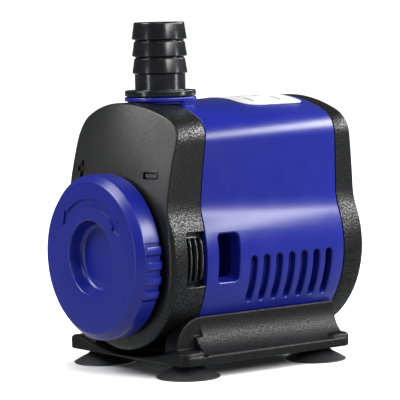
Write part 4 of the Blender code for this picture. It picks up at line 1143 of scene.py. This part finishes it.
def dress_inner_nodes():
    """Inner pieces keep their CAD shape and take the finish of their slot."""
    shown = {
        "pump_chamber": "blue_plastic", "volute_cover": "grey_plastic", "motor_housing": "blue_plastic",
        "impeller": "white_plastic", "rotor_sleeve": "white_plastic", "rotor_magnet": "ferrite",
        "rotor_shaft": "ceramic", "front_bush": "rubber", "rear_bush": "rubber",
        "chamber_seal": "rubber", "nozzle_o_ring": "rubber", "coil_bobbin_left": "white_plastic",
        "coil_bobbin_right": "white_plastic", "coil_winding_left": "copper_wire",
        "coil_winding_right": "copper_wire", "stator_pole_left": "lamination_steel",
        "stator_pole_right": "lamination_steel", "stator_yoke": "lamination_steel",
        "potting_plug": "potting",
    }
    for node, slot in shown.items():
        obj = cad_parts[node]
        if not obj.material_slots:
            obj.data.materials.append(MATERIALS[slot])
        for holder in obj.material_slots:
            holder.material = MATERIALS[slot]


# ---------------------------------------------------------------- stage

def make_floor():
    """Pale floor that shows under the pump and in its shadow, but neither tints nor mirrors in it."""
    nodes = Nodes("pale_floor")
    shade = nodes.ramp(nodes.noise(60.0, 2.0), (0.86, 0.86, 0.86), (0.90, 0.90, 0.90))
    nodes.link(shade, nodes.shader.inputs["Base Color"])
    nodes.shader.inputs["Roughness"].default_value = 0.7
    bm = bmesh.new()
    bmesh.ops.create_grid(bm, x_segments=1, y_segments=1, size=30.0)
    floor = make_object("floor", bm)
    floor.location.z = CAD_BOUNDS[0][2] - 0.0001
    floor.data.materials.append(nodes.material)
    floor.visible_diffuse = False
    floor.visible_glossy = False
    return floor


def light_only(light, name, pieces):
    """Let a light reach a few objects only."""
    lit = bpy.data.collections.new(name)
    for piece in pieces:
        lit.objects.link(piece)
    light.light_linking.receiver_collection = lit


def make_floor_wash(floor):
    """Soft sun that lights nothing but the floor."""
    data = bpy.data.lights.new("floor_wash", "SUN")
    data.energy = 4.2
    data.angle = math.radians(70)
    wash = bpy.data.objects.new("floor_wash", data)
    wash.rotation_euler = (math.radians(-12), math.radians(10), 0)
    bpy.context.scene.collection.objects.link(wash)
    light_only(wash, "only_floor", [floor])


def make_world():
    """White surroundings for the camera; a dim room above and a pale floor below for everything else."""
    world = bpy.data.worlds.new("studio")
    bpy.context.scene.world = world
    world.use_nodes = True
    tree = world.node_tree
    room = tree.nodes["Background"]
    room.inputs["Color"].default_value = (0.95, 0.97, 1.0, 1.0)
    direction = tree.nodes.new("ShaderNodeSeparateXYZ")
    coordinates = tree.nodes.new("ShaderNodeTexCoord")
    tree.links.new(coordinates.outputs["Generated"], direction.inputs["Vector"])
    bounce = tree.nodes.new("ShaderNodeMapRange")
    bounce.interpolation_type = "SMOOTHSTEP"
    limits = {"From Min": 0.02, "From Max": -0.30, "To Min": ROOM, "To Max": FLOOR_BOUNCE}
    for key, value in limits.items():
        bounce.inputs[key].default_value = value
    tree.links.new(direction.outputs["Z"], bounce.inputs["Value"])
    tree.links.new(bounce.outputs["Result"], room.inputs["Strength"])
    white = tree.nodes.new("ShaderNodeBackground")
    white.inputs["Color"].default_value = (1.0, 1.0, 1.0, 1.0)
    path = tree.nodes.new("ShaderNodeLightPath")
    mix = tree.nodes.new("ShaderNodeMixShader")
    tree.links.new(path.outputs["Is Camera Ray"], mix.inputs["Fac"])
    tree.links.new(room.outputs["Background"], mix.inputs[1])
    tree.links.new(white.outputs["Background"], mix.inputs[2])
    tree.links.new(mix.outputs["Shader"], tree.nodes["World Output"].inputs["Surface"])


def toward(azimuth, elevation):
    """Unit vector from the object; azimuth 0 is its front and 90 its right-hand side."""
    a = math.radians(azimuth)
    e = math.radians(elevation)
    return Vector((math.sin(a) * math.cos(e), -math.cos(a) * math.cos(e), math.sin(e)))


def softbox(name, back, distance, width, height, power):
    """Area light at a distance in metres along a direction from the pump's middle, turned to it."""
    data = bpy.data.lights.new(name, "AREA")
    data.shape = "RECTANGLE"
    data.size = width
    data.size_y = height
    data.energy = power
    light = bpy.data.objects.new(name, data)
    light.location = place(0, 0, 50) + back * distance
    light.rotation_euler = back.to_track_quat("Z", "Y").to_euler()
    bpy.context.scene.collection.objects.link(light)
    return light


def make_lights():
    """Studio lights; the linked ones light only the pieces that their rows name."""
    softbox("strip_behind_right", toward(136, 30), 1.6, 3.6, 0.40, 70.0)
    softbox("front_left_panel", toward(-25, 44), 0.9, 0.40, 0.40, 7.0)
    softbox("front_strip", toward(-2, -2), 0.9, 0.08, 0.5, 1.4)
    softbox("key_panel", toward(62, 46), 1.2, 0.6, 0.4, 3.0)
    linked = {
        "face_panel": ((-40, 22), 0.30, 0.30, 2.4, ("front_casing",)),
        "nozzle_strip": ((131, -2), 0.07, 0.5, 2.6, ("hose_nozzle", "right_latch")),
        "latch_strip": ((152, 4), 0.10, 0.5, 6.0, ("right_latch",)),
    }
    for name, (angles, width, height, power, pieces) in linked.items():
        light = softbox(name, toward(*angles), 0.9, width, height, power)
        light_only(light, name + "_pieces", [bpy.data.objects[piece] for piece in pieces])


def make_camera():
    """Long lens low in front of the right-hand corner, tipped a little, as for a catalogue picture."""
    azimuth = 52.253
    elevation = 4.829
    roll = math.radians(1.2)
    distance = 888.187
    side_shift = -3.688
    rise = 59.433
    sensor = 36.0
    focal_ratio = 5.982
    back = toward(azimuth, elevation)
    level = toward(azimuth + 90, 0)
    up = back.cross(level)
    right = level * math.cos(roll) - up * math.sin(roll)
    top = level * math.sin(roll) + up * math.cos(roll)
    data = bpy.data.cameras.new("camera")
    data.sensor_width = sensor
    data.lens = sensor * focal_ratio
    data.clip_start = 0.05
    data.clip_end = 20.0
    camera = bpy.data.objects.new("camera", data)
    turn = Matrix((right, top, back)).transposed().to_4x4()
    eye = place(*(right * side_shift + top * rise + back * distance))
    camera.matrix_world = Matrix.Translation(eye) @ turn
    bpy.context.scene.collection.objects.link(camera)
    bpy.context.scene.camera = camera


make_body_shell()
make_front_cover()
make_latch_tab("right_latch", "latch_tab_right", "latch_right", 1)
make_latch_tab("left_latch", "latch_tab_left", "latch_left", -1)
make_rear_cover()
make_screws()
make_gland()
make_label()
make_dial()
make_nozzle()
make_base()
make_cups()
dress_inner_nodes()
make_floor_wash(make_floor())
make_world()
make_lights()
make_camera()
bpy.context.scene.view_settings.view_transform = "Standard"
